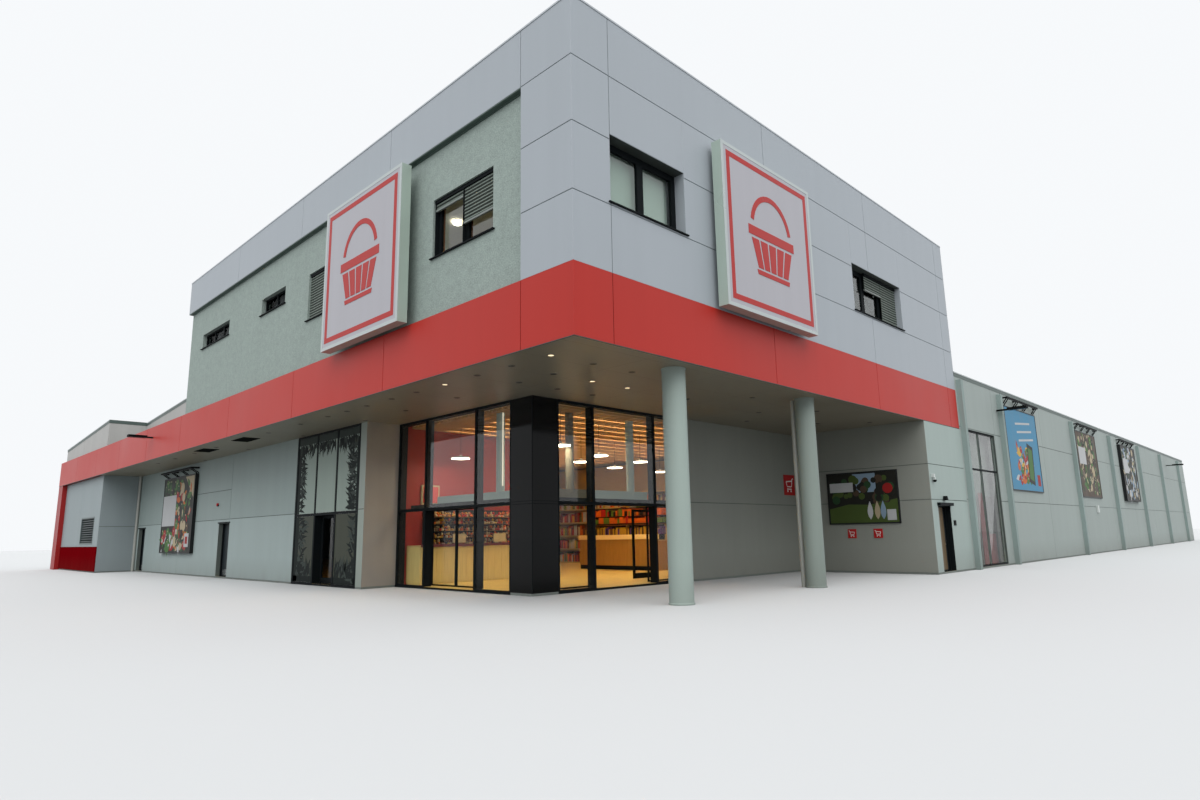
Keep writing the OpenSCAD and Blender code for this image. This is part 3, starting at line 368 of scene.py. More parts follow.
# Hall roof
# Two shallow slopes of folded sheet metal on the beams. Standing seams run from eaves to
# ridge, a folded cap closes the ridge, and a dark trim goes round the edge.
sheet_grey = finish("roof sheet", (128, 134, 137), 0.5, metal=0.2, clouds=0.35, cloud_size=0.4, streaks=0.0,
                    grain=0.1, bump=0.1)
trim_dark = finish("roof edge trim", (74, 88, 84), 0.45, clouds=0.2, grain=0.1)
dress("hall_roof", sheet_grey)
dress("roof_trim", trim_dark)
SEAM, SHEET, CAP = 0.018, 0.6, 0.22
roof = bmesh.new()


def seam_line(v, u0, u1):
    """One standing seam across the hall between two values of u, on one slope."""
    slab(roof, facing_rear(v), [(u0, roof_line(u0) - 0.002), (u1, roof_line(u1) - 0.002),
                                (u1, roof_line(u1) + SEAM), (u0, roof_line(u0) + SEAM)], -0.006, 0.006)


for i in range(1, 64):
    v = LONG - SHEET * i
    near = 0.02 if v > 9.84 else 11.78 if v > 1.06 else 18.62
    if near < RIDGE_U:
        seam_line(v, near, RIDGE_U)
    seam_line(v, max(near, RIDGE_U), 23.88)
cap = [(RIDGE_U - CAP, roof_line(RIDGE_U - CAP) + 0.004), (RIDGE_U, roof_line(RIDGE_U) + 0.012),
       (RIDGE_U + CAP, roof_line(RIDGE_U + CAP) + 0.004), (RIDGE_U, roof_line(RIDGE_U) + 0.034)]
slab(roof, facing_rear(0.0), cap, 1.05, 38.69)
piece = set_piece("roof_seams", roof, sheet_grey)
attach(piece, "building")

RECESS, WING = facing_front(1.03), facing_front(0.13)
bm = bmesh.new()
for wall, v0, z in ((SIDE, 9.8, EAVES_RIGHT), (LEFT, 0.13, EAVES_LEFT)):
    oblong(bm, wall, (v0, 38.71), (z - 0.012, z + 0.006), -0.02, 0.018)
for wall, stops in ((RECESS, (11.77, RIDGE_U, 18.6)), (WING, (18.6, WIDE)), (REAR, (0.0, RIDGE_U, WIDE))):
    for a0, a1 in zip(stops, stops[1:]):
        slab(bm, wall, [(a0, roof_line(a0) - 0.012), (a1, roof_line(a1) - 0.012), (a1, roof_line(a1) + 0.006),
                        (a0, roof_line(a0) + 0.006)], -0.02, 0.018)
piece = set_piece("roof_edge_caps", bm, finish("edge cap aluminium", (176, 184, 184), 0.4, clouds=0.15))
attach(piece, "building")

# Tall hall window
# A dark aluminium frame with four clear panes in the first bay of the hall, made in the CAD
# model. Behind it stands a wall with goods in painted shade, with red slabs as painted
# reflections in the lower panes, and a sill lies below.
anthracite = finish("anthracite aluminium", (20, 24, 26), 0.5, clouds=0.2, grain=0.12, streaks=0.1, bump=0.05,
                    shine=0.04)
# Painted light: the frame's faces towards the front get a pale grey, though the frame is dark aluminium all
# round.
window_bar_painted_light = finish("window bar side, painted light", (122, 132, 128), 0.5, clouds=0.15, grain=0.05, shine=0.1)
dress("hall_window", anthracite, window_bar_painted_light, sort=lambda normal: 1 if normal.y < -0.5 else 0)
# Painted shade: the backing wall and goods get dark colours for the dim store; the red slabs paint red
# reflections.
dim_store_wall_painted_shade = finish("store wall in painted shade", (94, 106, 99), 0.9, clouds=0.5, cloud_size=1.5, streaks=0.4)
store_goods_painted_shade = finish("store goods in painted shade", (52, 57, 50), 0.9, clouds=0.9, cloud_size=2.5, streaks=0.5)
painted_red_reflection = finish("red reflection painted behind the glass", (98, 30, 29), 0.8, clouds=0.5, cloud_size=1.5, streaks=0.3)
bm = bmesh.new()
store_wall = facing_side(0.22)
oblong(bm, store_wall, (10.0, 12.1), (1.36, 2.7), -0.02, 0.0)
oblong(bm, store_wall, (10.0, 12.1), (0.03, 1.36), -0.02, 0.0, 1)
for a, high in (((10.3, 10.62), 1.4), ((11.1, 11.36), 1.42), ((11.5, 11.9), 0.62)):
    oblong(bm, store_wall, a, (0.03, high), 0.0, 0.01, 2)
block(bm, (0.004, 0.03), (10.25, 11.78), (0.03, 0.055), 3)
piece = set_piece("hall_window_backing", bm, dim_store_wall_painted_shade, store_goods_painted_shade, painted_red_reflection, anthracite)
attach(piece, "building")

# Recessed front wall
# The same concrete panels behind the front canopy, with two doors cut through the lower
# row, and above the canopy the gable that carries the hall roof.
front_grey = concrete("front concrete", (151, 165, 164), cloud_size=0.6, grain_size=160.0)
gable_grey = concrete("gable concrete", (168, 168, 166), streaks=0.2, splash=0.0)
# The upper row under the soffit gets a darker copy of the front concrete: painted shade.
shaded_grey = concrete("front concrete, upper row in painted shade", (139, 153, 151), cloud_size=0.6, grain_size=160.0,
                       splash=0.0)
SOFFIT_Z = 2.56
dress("recess_wall_lower", joint_grey)
dress("recess_wall_upper", joint_grey)
bm = bmesh.new()
door_holes = [(11.56, 12.2, 0.0, 1.125), (17.8, 18.42, 0.0, 1.125)]
lay_panels(bm, RECESS, [8.375, 11.58, 14.9, 18.6], [0.03, 1.2], holes=door_holes)
oblong(bm, RECESS, (8.375, 11.5745), (1.211, SOFFIT_Z), BED, 0.006, 2)
lay_panels(bm, RECESS, [11.5855, 14.8945], [1.211, 1.82, SOFFIT_Z], look=2)
oblong(bm, RECESS, (14.9055, 18.6), (1.211, SOFFIT_Z), BED, 0.006, 2)
lay_panels(bm, RECESS, [11.7, 14.14, 16.58, 18.6], [3.2, 4.5], top=under_roof, look=1)
piece = set_piece("front_wall_panels", bm, front_grey, gable_grey, shaded_grey, soft=0.0015)
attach(piece, "building")

# Front wing
# The far end of the front stands forward under the fascia: a pale wall with a louvre, a
# red plinth of glossy sheet along its foot, and a red pier that carries the fascia.
LOUVRE = (19.19, 20.72, 0.766, 1.45)
wing_white = concrete("wing concrete", (139, 150, 153), splash=0.3)
plinth_red = finish("plinth sheet", (108, 5, 12), 0.6, clouds=0.25, grain=0.05, streaks=0.15, splash=0.12,
                    shine=0.0)
dress("wing_wall", joint_grey)
dress("wing_side_wall", joint_grey)
WING_SIDE, WING_DEEP = facing_side(18.6), (0.13, 1.03)
bm = bmesh.new()
lay_panels(bm, WING, [18.594, 21.0, 23.33], [0.66, SOFFIT_Z], holes=[LOUVRE])
lay_panels(bm, WING, [18.594, 21.46, 23.906], [3.2, 4.5], top=under_roof, look=1)
lay_panels(bm, WING_SIDE, WING_DEEP, [0.03, 1.2, SOFFIT_Z])
oblong(bm, WING_SIDE, WING_DEEP, (3.2, 3.98), BED, 0.006, 1)
piece = set_piece("wing_panels", bm, wing_white, gable_grey, soft=0.0015)
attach(piece, "building")
bm = bmesh.new()
for u0, u1 in ((18.59, 19.765), (19.771, 20.95), (20.956, 22.13), (22.136, 23.33)):
    oblong(bm, WING, (u0, u1), (0.03, 0.66), BED, 0.022)
oblong(bm, WING, (18.59, 23.33), (0.66, 0.675), BED, 0.028)
piece = set_piece("wing_plinth", bm, plinth_red, soft=0.002)
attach(piece, "building")
louvre_grey = finish("louvre aluminium", (68, 77, 78), 0.5, metal=0.1, clouds=0.2, grain=0.1, shine=0.1)
dress("wing_louvre", louvre_grey)
bm = bmesh.new()
a0, a1, b0, b1 = LOUVRE
BAR = 0.03
for a, b in (((a0 - BAR, a0), (b0 - BAR, b1 + BAR)), ((a1, a1 + BAR), (b0 - BAR, b1 + BAR)),
             ((a0, a1), (b1, b1 + BAR)), ((a0, a1), (b0 - BAR, b0))):
    oblong(bm, WING, a, b, BED, 0.014)
bar_grey = finish("louvre frame", (118, 128, 128), 0.5, clouds=0.2, shine=0.2)
piece = set_piece("louvre_surround", bm, bar_grey, soft=0.002)
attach(piece, "building")

# Canopy soffit
# Metal cassettes hung under the upper floor, satin and taupe, with round downlights set
# into them in rows and two square air grilles over the front.
taupe = finish("soffit cassettes", (140, 133, 116), 0.4, metal=0.1, shine=0.3, clouds=0.15, streaks=0.0,
               grain=0.06,
               laid=dict(joint_colour=paint(70, 66, 60), long=0.64, wide=1.28, joint=0.002, tone=0.03))
raw_concrete = finish("structure", (140, 140, 136), 0.8, clouds=0.3, grain=0.2)
dress("soffit", taupe)
dress("upper_floor", raw_concrete)
SOFFIT = facing_down(SOFFIT_Z)
LIGHT_U = [0.718, 1.364, 1.99, 2.646, 3.287, 3.9, 4.574, 5.158, 5.77, 6.732, 8.01, 9.3, 10.6, 11.9, 13.2,
           14.5]
LIGHT_V = [0.349, 0.957, 1.579, 2.201, 3.412, 4.034, 5.2, 5.814, 7.034, 7.64]


def glowing(name, colour, strength):
    """A lamp's frosted cover, whose light is a little uneven over its face."""
    made, tree, skin = blank(name)
    spot = put(tree, "TexCoord").outputs["Object"]
    noise = put(tree, "TexNoise", {"Vector": spot, "Scale": 9.0}).outputs[0]
    light = blend(tree, noise, colour, [c * 0.8 for c in colour[:3]] + [1.0])
    tree.links.new(light, skin.inputs["Base Color"])
    tree.links.new(light, skin.inputs["Emission Color"])
    skin.inputs["Emission Strength"].default_value = strength
    skin.inputs["Roughness"].default_value = 0.4
    return made


def turned(bm, centre, profile, look=0, sides=24):
    """A round part about an upright line: the profile is radius and height, from one end to the other."""
    turns = [math.tau * i / sides for i in range(sides)]
    close_up(bm, [[bm.verts.new(centre + Vector((radius * math.cos(t), radius * math.sin(t), height)))
                   for t in turns] for radius, height in profile], look)


light_ring = finish("downlight ring", (96, 92, 84), 0.4, metal=0.2, clouds=0.1)
light_off = finish("downlight off", (48, 46, 43), 0.3, clouds=0.1, shine=0.1)
light_on = glowing("downlight lit", (1.0, 0.78, 0.50, 1.0), 1.3)
bm = bmesh.new()
for i, u in enumerate(LIGHT_U):
    for j, v in enumerate(LIGHT_V):
        if (v < 1.1 and (i % 2 == 0 or v < 0.5)) or (u < 2.2 and (v < 2.3 or (i + j) % 2)):
            lit = (3 * i + 5 * j) % 9 in (0, 4) and u < 4.0 and v < 3.6
            spot = place(u, v, SOFFIT_Z)
            turned(bm, spot, [(0.0405, 0.001), (0.043, -0.001), (0.041, -0.005), (0.032, -0.005)], 0, 20)
            turned(bm, spot, [(0.031, -0.002), (0.031, -0.0055)], 1 if lit else 2, 20)
piece = set_piece("soffit_downlights", bm, light_ring, light_on, light_off)
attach(piece, "building")
bm = bmesh.new()
for u in (9.09, 11.2):
    oblong(bm, SOFFIT, (u - 0.31, u + 0.31), (0.215, 0.505), BED, 0.006)
    for k in range(9):
        v = 0.236 + 0.031 * k
        oblong(bm, facing_down(SOFFIT_Z + 0.006), (u - 0.29, u + 0.29), (v - 0.004, v + 0.004), BED, 0.008)
piece = set_piece("soffit_grilles", bm, finish("grille", (30, 32, 31), 0.6, grain=0.2, shine=0.0))
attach(piece, "building")

# Red fascia
# A band of satin red composite sheets over both canopies, in long cassettes with narrow
# upright joints. A dark drip profile closes its lower edge, and the far pier is clad alike.
fascia_red = finish("fascia red", (176, 45, 37), 0.42, clouds=0.12, cloud_size=0.5, streaks=0.08, grain=0.04,
                    shine=0.22)
pier_red = finish("pier red", (150, 34, 34), 0.42, clouds=0.15, streaks=0.12, grain=0.04, shine=0.2)
fascia_joint = finish("fascia joint", (92, 18, 17), 0.6, clouds=0.1, shine=0.2)
# The same dark finish also paints the shade under the side window heads.
drip_and_painted_shade = finish("drip profile and painted shade", (52, 58, 55), 0.5, clouds=0.15)
dress("front_fascia", fascia_joint)
dress("side_fascia", fascia_joint)
dress("wing_pier", pier_red)
FRONT, BLOCK_REAR = facing_front(0.0), facing_rear(9.8)
FRONT_JOINTS = [0.775, 3.506, 6.237, 8.968, 11.7]
SIDE_JOINTS = [0.0, 0.53, 3.49, 6.45, 9.41, 9.806]
FASCIA = (SOFFIT_Z, 3.29)
bm = bmesh.new()
lay_panels(bm, FRONT, [-0.006] + FRONT_JOINTS + [14.14, 16.58, 19.02, 21.46, 23.906], FASCIA, gap=0.009)
lay_panels(bm, SIDE, SIDE_JOINTS, FASCIA, gap=0.009)
oblong(bm, LEFT, (0.0, 0.13), FASCIA, BED, 0.006)
oblong(bm, BLOCK_REAR, (-0.006, 0.13), FASCIA, BED, 0.006)
piece = set_piece("fascia_panels", bm, fascia_red, soft=0.0015)
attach(piece, "building")
bm = bmesh.new()
oblong(bm, FRONT, (-0.009, 23.905), (2.553, 2.561), -0.006, 0.009)
oblong(bm, SIDE, (0.0, 9.805), (2.553, 2.561), -0.006, 0.009)
piece = set_piece("fascia_drip", bm, drip_and_painted_shade)
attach(piece, "building")
bm = bmesh.new()
stops = [0.006] + FRONT_JOINTS[1:] + [14.14, 16.58, 18.6]
for u0, u1 in zip(stops, stops[1:]):
    oblong(bm, SOFFIT, (u0, u1 - 0.002), (0.006, 0.132), BED, 0.004)
for v0, v1 in ((0.132, 3.49), (3.492, 6.45), (6.452, 8.13)):
    oblong(bm, SOFFIT, (0.006, 0.132), (v0, v1), BED, 0.004)
piece = set_piece("fascia_underside", bm, taupe)
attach(piece, "building")

# Upper block walls and cladding
# The office floor: grey-green mineral render on the front wall, and smooth pearl cassettes
# on the corner, on the side and as a band along the top. Left and rear are clad the same way.
render_grain = finish("mineral render", (142, 155, 150), 0.85, clouds=0.4, cloud_size=14.0, streaks=0.1,
                      grain=0.75, grain_size=55.0, bump=0.8)
pearl = finish("pearl cassettes", (161, 168, 175), 0.45, metal=0.05, clouds=0.08, cloud_size=0.5,
               streaks=0.06, grain=0.03, shine=0.35)
pearl_joint = finish("cassette joint", (104, 116, 116), 0.6, clouds=0.1)
dress("front_upper_wall", render_grain)
dress("side_upper_wall", raw_concrete)
for node in ("left_upper_wall", "rear_upper_wall", "front_cladding", "side_cladding"):
    dress(node, pearl_joint)
ROWS = [3.29, 4.01, 4.73, 5.45]
TOP = 6.12
bm = bmesh.new()
lay_panels(bm, FRONT, [-0.006, 0.775], ROWS + [TOP], gap=0.009)
lay_panels(bm, FRONT, [0.784] + FRONT_JOINTS[1:4] + [11.766], [5.45, TOP], gap=0.009)
oblong(bm, facing_left(0.775), (0.0, 0.06), (3.29, 5.45), BED, 0.002)
piece = set_piece("cladding_front", bm, pearl, soft=0.0015)
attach(piece, "building")
bm = bmesh.new()
SIDE_HOLES = [(0.53, 1.745, 4.03, 4.79), (5.87, 7.63, 4.03, 4.79)]
lay_panels(bm, SIDE, SIDE_JOINTS, ROWS + [TOP], holes=SIDE_HOLES, gap=0.009)
piece = set_piece("cladding_side", bm, pearl, soft=0.0015)
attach(piece, "building")
bm = bmesh.new()
REVEAL = (-0.128, -0.002)
for v0, v1, z0, z1 in SIDE_HOLES:
    oblong(bm, SIDE, (v0, v0 + 0.004), (z0 + 0.014, z1), *REVEAL)
    oblong(bm, SIDE, (v1 - 0.004, v1), (z0 + 0.014, z1), *REVEAL)
    # The head of each reveal takes the dark drip finish: painted shade under the window head.
    oblong(bm, SIDE, (v0, v1), (z1 - 0.004, z1), *REVEAL, 1)
piece = set_piece("side_window_linings", bm, pearl, drip_and_painted_shade)
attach(piece, "building")
bm = bmesh.new()
lay_panels(bm, facing_left(11.7), [0.06, 3.1, 6.45, 9.806], ROWS, gap=0.009)
lay_panels(bm, facing_left(11.76), [0.0, 3.1, 6.45, 9.806], [5.45, TOP], gap=0.009)
lay_panels(bm, BLOCK_REAR, [-0.006, 2.9, 5.83, 8.76, 11.766], [3.5] + ROWS[1:] + [TOP], gap=0.009)
piece = set_piece("cladding_left_and_rear", bm, pearl, soft=0.0015)
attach(piece, "building")
bm = bmesh.new()
# Dark strips at the foot of the cladding band over the render: its drip edge, and painted shadow in the gap
# under the band.
block(bm, (0.775, 11.76), (-0.004, 0.075), (5.436, 5.451))
block(bm, (0.775, 11.7), (0.045, 0.075), (5.42, 5.44))
piece = set_piece("render_edge_drip_and_shadow", bm, finish("render drip and painted shadow", (66, 84, 77), 0.5, clouds=0.15))
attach(piece, "building")

# Upper roof and coping
# A grey membrane behind the parapet, welded in strips, with two roof outlets, and a thin
# folded aluminium coping on top of the parapet.
membrane = finish("roof membrane", (118, 122, 124), 0.75, clouds=0.5, cloud_size=0.5, streaks=0.0,
                  grain=0.2, bump=0.15,
                  laid=dict(joint_colour=paint(92, 96, 98), long=12.0, wide=0.9, joint=0.006, tone=0.05))
coping_grey = finish("coping aluminium", (178, 183, 188), 0.35, metal=0.35, clouds=0.1, grain=0.05)
dress("upper_roof", membrane)
dress("parapet_coping", coping_grey)
bm = bmesh.new()
outlet = [(0.09, -0.001), (0.09, 0.006), (0.045, 0.012), (0.045, 0.05), (0.04, 0.055)]
for u in (1.1, 10.6):
    turned(bm, place(u, 8.9, 5.99), outlet)
piece = set_piece("roof_outlets", bm, trim_dark, round_off=True)
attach(piece, "building")

# Upper windows
# Dark aluminium windows with two lights and a thin sill each, set back in the wall. The small
# ones high on the front have a darker glass.
OFFICE = (4.03, 4.79)
HIGH = (4.54, 4.845)


def glass(name, tint, bend=1.5):
    """Clear sheet glass: lamps shine through it, and it mirrors what stands before it."""
    made, tree, pane = blank(name)
    spot = put(tree, "TexCoord").outputs["Object"]
    ripple = put(tree, "TexNoise", {"Vector": spot, "Scale": 1.3, "Detail": 1.0}).outputs[0]
    hue = blend(tree, ripple, tint, [c * 0.96 for c in tint[:3]] + [1.0])
    wave = put(tree, "Bump", {"Height": ripple, "Strength": 0.03, "Distance": 0.01})
    tree.links.new(hue, pane.inputs["Base Color"])
    tree.links.new(wave.outputs[0], pane.inputs["Normal"])
    pane.inputs["Roughness"].default_value = 0.0
    pane.inputs["Transmission Weight"].default_value = 1.0
    pane.inputs["IOR"].default_value = bend
    open_to_light = put(tree, "BsdfTransparent", {"Color": [c ** 0.5 for c in tint[:3]] + [1.0]})
    path = put(tree, "LightPath").outputs
    through = maths(tree, "MAXIMUM", path["Is Shadow Ray"], path["Is Diffuse Ray"])
    both = put(tree, "MixShader", {0: through, 1: pane.outputs[0], 2: open_to_light.outputs[0]})
    tree.links.new(both.outputs[0], tree.nodes["Material Output"].inputs["Surface"])
    return made


window_glass = glass("window glass", (0.80, 0.88, 0.86, 1.0))
dress("upper_windows", anthracite)
high_glass = glass("shaded window glass", (0.72, 0.76, 0.76, 1.0), bend=1.04)
dress("upper_glass", window_glass, high_glass)
for face in cad["upper_glass"].data.polygons:
    face.material_index = 1 if face.center.x < 5.3 else 0

# Outside blinds
# Grey metal slats strung on cords in the reveals of some upper windows, let down to
# different heights, with a heavier rail under the lowest slat.
slat_grey = finish("blind slats", (112, 122, 115), 0.5, clouds=0.1, grain=0.05, shine=0.1)
# The lower face of each slat is darker: painted shade between the slats.
slat_painted_shade = finish("blind slats, lower edge in painted shade", (42, 47, 44), 0.5, clouds=0.1, grain=0.05, shine=0.1)
rail_grey = finish("blind rail", (120, 128, 124), 0.4, clouds=0.1)
SLAT = 0.042
bm = bmesh.new()


def blind(wall, a, bottom, top, out):
    """An outside blind: tilted slats between two cords, a bottom rail and its folded pack."""
    oblong(bm, wall, a, (top - 0.045, top - 0.002), out - 0.026, out + 0.016, 1)
    ends = (a[0] + 0.006, a[1] - 0.006)
    for i in range(int((top - 0.05 - bottom) / SLAT)):
        b = top - 0.07 - SLAT * i
        rows = [(b - 0.0225, 0.004), (b - 0.006, 0.007), (b + 0.0225, -0.004)]
        face = [[bm.verts.new(wall(c, z, out + o)) for z, o in rows] for c in ends]
        back = [[bm.verts.new(wall(c, z, out + o - 0.0016)) for z, o in rows] for c in ends]
        # Lower face dark, upper face grey: painted shade on each slat.
        for k, look in enumerate((3, 0)):
            bm.faces.new((face[0][k], face[1][k], face[1][k + 1], face[0][k + 1])).material_index = look
            bm.faces.new((back[0][k + 1], back[1][k + 1], back[1][k], back[0][k]))
            for end in (0, 1):
                bm.faces.new((face[end][k], face[end][k + 1], back[end][k + 1], back[end][k]))
        bm.faces.new((face[0][0], back[0][0], back[1][0], face[1][0]))
        bm.faces.new((face[0][2], face[1][2], back[1][2], back[0][2]))
    for c in (a[0] + 0.1, (a[0] + a[1]) / 2, a[1] - 0.1):
        oblong(bm, wall, (c - 0.002, c + 0.002), (bottom, top - 0.04), out - 0.003, out + 0.001, 1)
    oblong(bm, wall, (a[0] + 0.004, a[1] - 0.004), (bottom, bottom + 0.022), out - 0.012, out + 0.014, 2)


front_reveal = facing_front(0.06)
for a in ((1.345, 1.355), (1.925, 1.935), (2.505, 2.515)):
    oblong(bm, front_reveal, a, (OFFICE[0] + 0.014, OFFICE[1]), -0.066, -0.02, 1)
for a, bottom in (((1.335, 1.925), 4.30), ((1.935, 2.525), 4.64), ((4.82, 6.01), 4.05)):
    blind(front_reveal, a, bottom, OFFICE[1], -0.036)
for a, bottom in (((6.46, 7.04), 4.50), ((7.045, 7.62), 4.05)):
    blind(SIDE, a, bottom, OFFICE[1], -0.09)
piece = set_piece("window_blinds", bm, slat_grey, anthracite, rail_grey, slat_painted_shade)
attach(piece, "building")

# Office rooms
# Painted rooms behind the upper windows, only as deep as one can look in, with ceiling
# lamps, curtains, inner sashes of wood and upright cloth slats.
office_wall = finish("office wall paint", (236, 226, 206), 0.8, clouds=0.1, grain=0.05)
curtain = finish("office curtain", (180, 191, 181), 0.9, clouds=0.12, streaks=0.1, grain=0.05)
office_lamp = glowing("office lamp", (1.0, 0.93, 0.80, 1.0), 11.0)
# Painted shade: a dark grey room behind the small high windows and the far side window, for rooms without
# light.
unlit_room_painted_shade = finish("room in painted shade", (44, 50, 48), 0.9, clouds=0.2)
inner_wood = finish("inner frame wood", (132, 84, 52), 0.5, clouds=0.3, grain=0.1)
slat_cloth = finish("vertical slats", (84, 90, 92), 0.8, clouds=0.2)
ROOM_V = 0.21
bm = bmesh.new()
for u0, u1, span, deep, look in ((1.33, 3.6, OFFICE, 1.6, 0), (4.815, 6.015, OFFICE, 0.8, 0),
                                 (6.915, 7.905, HIGH, 0.5, 2), (9.465, 10.945, HIGH, 0.5, 2)):
    inside, low, high = facing_front(ROOM_V), span[0] - 0.3, span[1] + 0.2
    oblong(bm, inside, (u0 - 0.3, u1 + 0.3), (low, low + 0.02), -deep, 0.0, look)
    oblong(bm, inside, (u0 - 0.3, u1 + 0.3), (high - 0.02, high), -deep, 0.0, look)
    oblong(bm, inside, (u0 - 0.3, u0 - 0.28), (low + 0.02, high - 0.02), -deep, 0.0, look)
    oblong(bm, inside, (u1 + 0.28, u1 + 0.3), (low + 0.02, high - 0.02), -deep, 0.0, look)
    oblong(bm, facing_front(ROOM_V + deep), (u0 - 0.3, u1 + 0.3), (low, high), -0.02, 0.0, look)
inner_sash = facing_front(0.171)
for a in ((1.395, 1.407), (1.878, 1.89), (1.97, 1.982), (2.453, 2.465)):
    oblong(bm, inner_sash, a, (4.09, 4.73), -0.02, 0.0, 4)
for a in ((1.407, 1.878), (1.982, 2.453)):
    oblong(bm, inner_sash, a, (4.105, 4.13), -0.02, 0.0, 4)
for u, v in ((3.17, 0.84), (2.0, 1.3)):
    turned(bm, place(u, v, 4.93), [(0.055, 0.0), (0.06, 0.006), (0.06, 0.02)], 1)
oblong(bm, facing_side(0.24), (0.56, 1.715), (4.06, 4.77), -0.01, 0.0, 3)
oblong(bm, facing_side(0.5), (5.75, 7.75), (3.9, 4.9), -0.01, 0.0, 2)
for i in range(7):
    fold = 0.012 + 0.012 * (i % 2)
    oblong(bm, facing_side(0.3), (5.93 + 0.075 * i, 5.975 + 0.075 * i), (3.95, 4.85), 0.0, fold, 3)
for u0, u1 in ((6.93, 7.89), (9.48, 10.93)):
    for i in range(int((u1 - u0) / 0.08)):
        u = u0 + 0.08 * i
        oblong(bm, facing_front(0.27), (u, u + 0.066), (HIGH[0] - 0.05, HIGH[1] + 0.05), 0.0, 0.008, 5)
piece = set_piece("office_rooms", bm, office_wall, office_lamp, unlit_room_painted_shade, curtain, inner_wood, slat_cloth)
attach(piece, "building")

# Canopy columns and drain pipes
# Round steel columns painted pale grey, on a base ring and under a cap ring, and two
# zinc drain pipes: one behind the far column, one in the inner corner of the front.
worn_paint = dict(rough=0.5, shine=0.3, clouds=0.15, streaks=0.3, grain=0.05, splash=0.4)
column_grey = finish("column paint", (154, 168, 162), **worn_paint)
pipe_zinc = finish("zinc pipe", (158, 160, 154), 0.45, metal=0.1, clouds=0.25, grain=0.1)
# The far column and its rings get a darker copy of the paint: painted shade deeper under the canopy.
column_shade = finish("column paint, far, in painted shade", (132, 143, 137), **worn_paint)
dress("canopy_columns", column_grey, column_shade)
for face in cad["canopy_columns"].data.polygons:
    face.material_index = 1 if face.center.y > place(0.0, 3.0, 0.0).y else 0
dress("drain_pipes", pipe_zinc)
bm = bmesh.new()
for look, v in enumerate((1.818, 4.69)):
    turned(bm, place(0.31, v, 0.0), [(0.142, 0.0), (0.142, 0.014), (0.134, 0.02)], look, 48)
    turned(bm, place(0.31, v, SOFFIT_Z), [(0.134, -0.018), (0.14, -0.012), (0.14, 0.0)], look, 48)
piece = set_piece("column_rings", bm, column_grey, column_shade, round_off=True)
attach(piece, "building")
bm = bmesh.new()
for u, v in ((0.488, 4.69), (18.556, 0.986)):
    for z in (0.35, 1.2, 2.05):
        turned(bm, place(u, v, z), [(0.036, 0.0), (0.041, 0.002), (0.041, 0.018), (0.036, 0.02)])
piece = set_piece("pipe_clips", bm, pipe_zinc, round_off=True)
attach(piece, "building")

# Shopfront of the small shop
# A dark aluminium front of three bays with a hinged glass door in the middle one. A grey
# film with dark leaf shapes round its edges is stuck on the panes.
film = dict(rough=0.4, streaks=0.2, grain=0.05, shine=0.1)
leaf_print = dict(rough=0.5, clouds=0.5, cloud_size=6.0, grain=0.3, grain_size=60.0, shine=0.05)
film_grey = finish("window film", (142, 156, 148), clouds=0.35, cloud_size=0.5, **film)
film_low = finish("window film low", (57, 61, 50), clouds=0.8, cloud_size=0.9, **film)
film_dark = finish("leaf print", (26, 32, 31), **leaf_print)
film_mid = finish("leaf print, paler", (58, 65, 62), **leaf_print)
dress("shopfront_frame", anthracite)
dice = random.Random(8)
film_at = facing_front(1.0365)
UPPER_BAYS = [(6.084, 6.791), (6.849, 7.546), (7.604, 8.321)]
LOWER_BAYS = [UPPER_BAYS[0], UPPER_BAYS[2]]
BAYS = [bay + (1.194, 2.522) for bay in UPPER_BAYS] + [bay + (0.05, 1.146) for bay in LOWER_BAYS]
bm = bmesh.new()
for a0, a1, b0, b1 in BAYS:
    oblong(bm, film_at, (a0, a1), (b0, b1), BED, 0.0, 2 if b0 < 1.0 else 0)


def blade(root, angle, length, wide):
    """A long pointed leaf of the print, left out where it would cross the edge of its pane."""
    shape = []
    for side, steps in ((1, (0, 1, 2, 3, 4)), (-1, (3, 2, 1))):
        for k in steps:
            t = k / 4
            bend = angle + 0.35 * t
            swell = side * wide / 2 * (0.0, 0.8, 1.0, 0.6, 0.0)[k]
            shape.append((root[0] + length * t * math.cos(bend) - swell * math.sin(bend),
                          root[1] + length * t * math.sin(bend) + swell * math.cos(bend)))
    for a0, a1, b0, b1 in BAYS:
        if all(a0 <= p[0] <= a1 and b0 <= p[1] <= b1 for p in shape):
            slab(bm, film_at, shape, 0.0, 0.0005 + dice.uniform(0.0, 0.0003), dice.choice((1, 1, 3)))


def ragged(a0, a1, b0, b1, edge, count):
    """A dark band along one edge of a pane, with blades growing from it into the pane."""
    lean = {"top": -math.pi / 2, "foot": math.pi / 2, "low_u": 0.0, "high_u": math.pi}[edge]
    oblong(bm, film_at, (a0, a1), (b0, b1), 0.0, 0.0004, 3 if edge == "top" else 1)
    for _ in range(count):
        if edge in ("top", "foot"):
            root = (dice.uniform(a0, a1), b0 + 0.01 if edge == "top" else b1 - 0.01)
        else:
            root = (a1 - 0.01 if edge == "low_u" else a0 + 0.01, dice.uniform(b0, b1))
        blade(root, lean + dice.uniform(-1.0, 0.75), dice.uniform(0.12, 0.32), dice.uniform(0.03, 0.06))


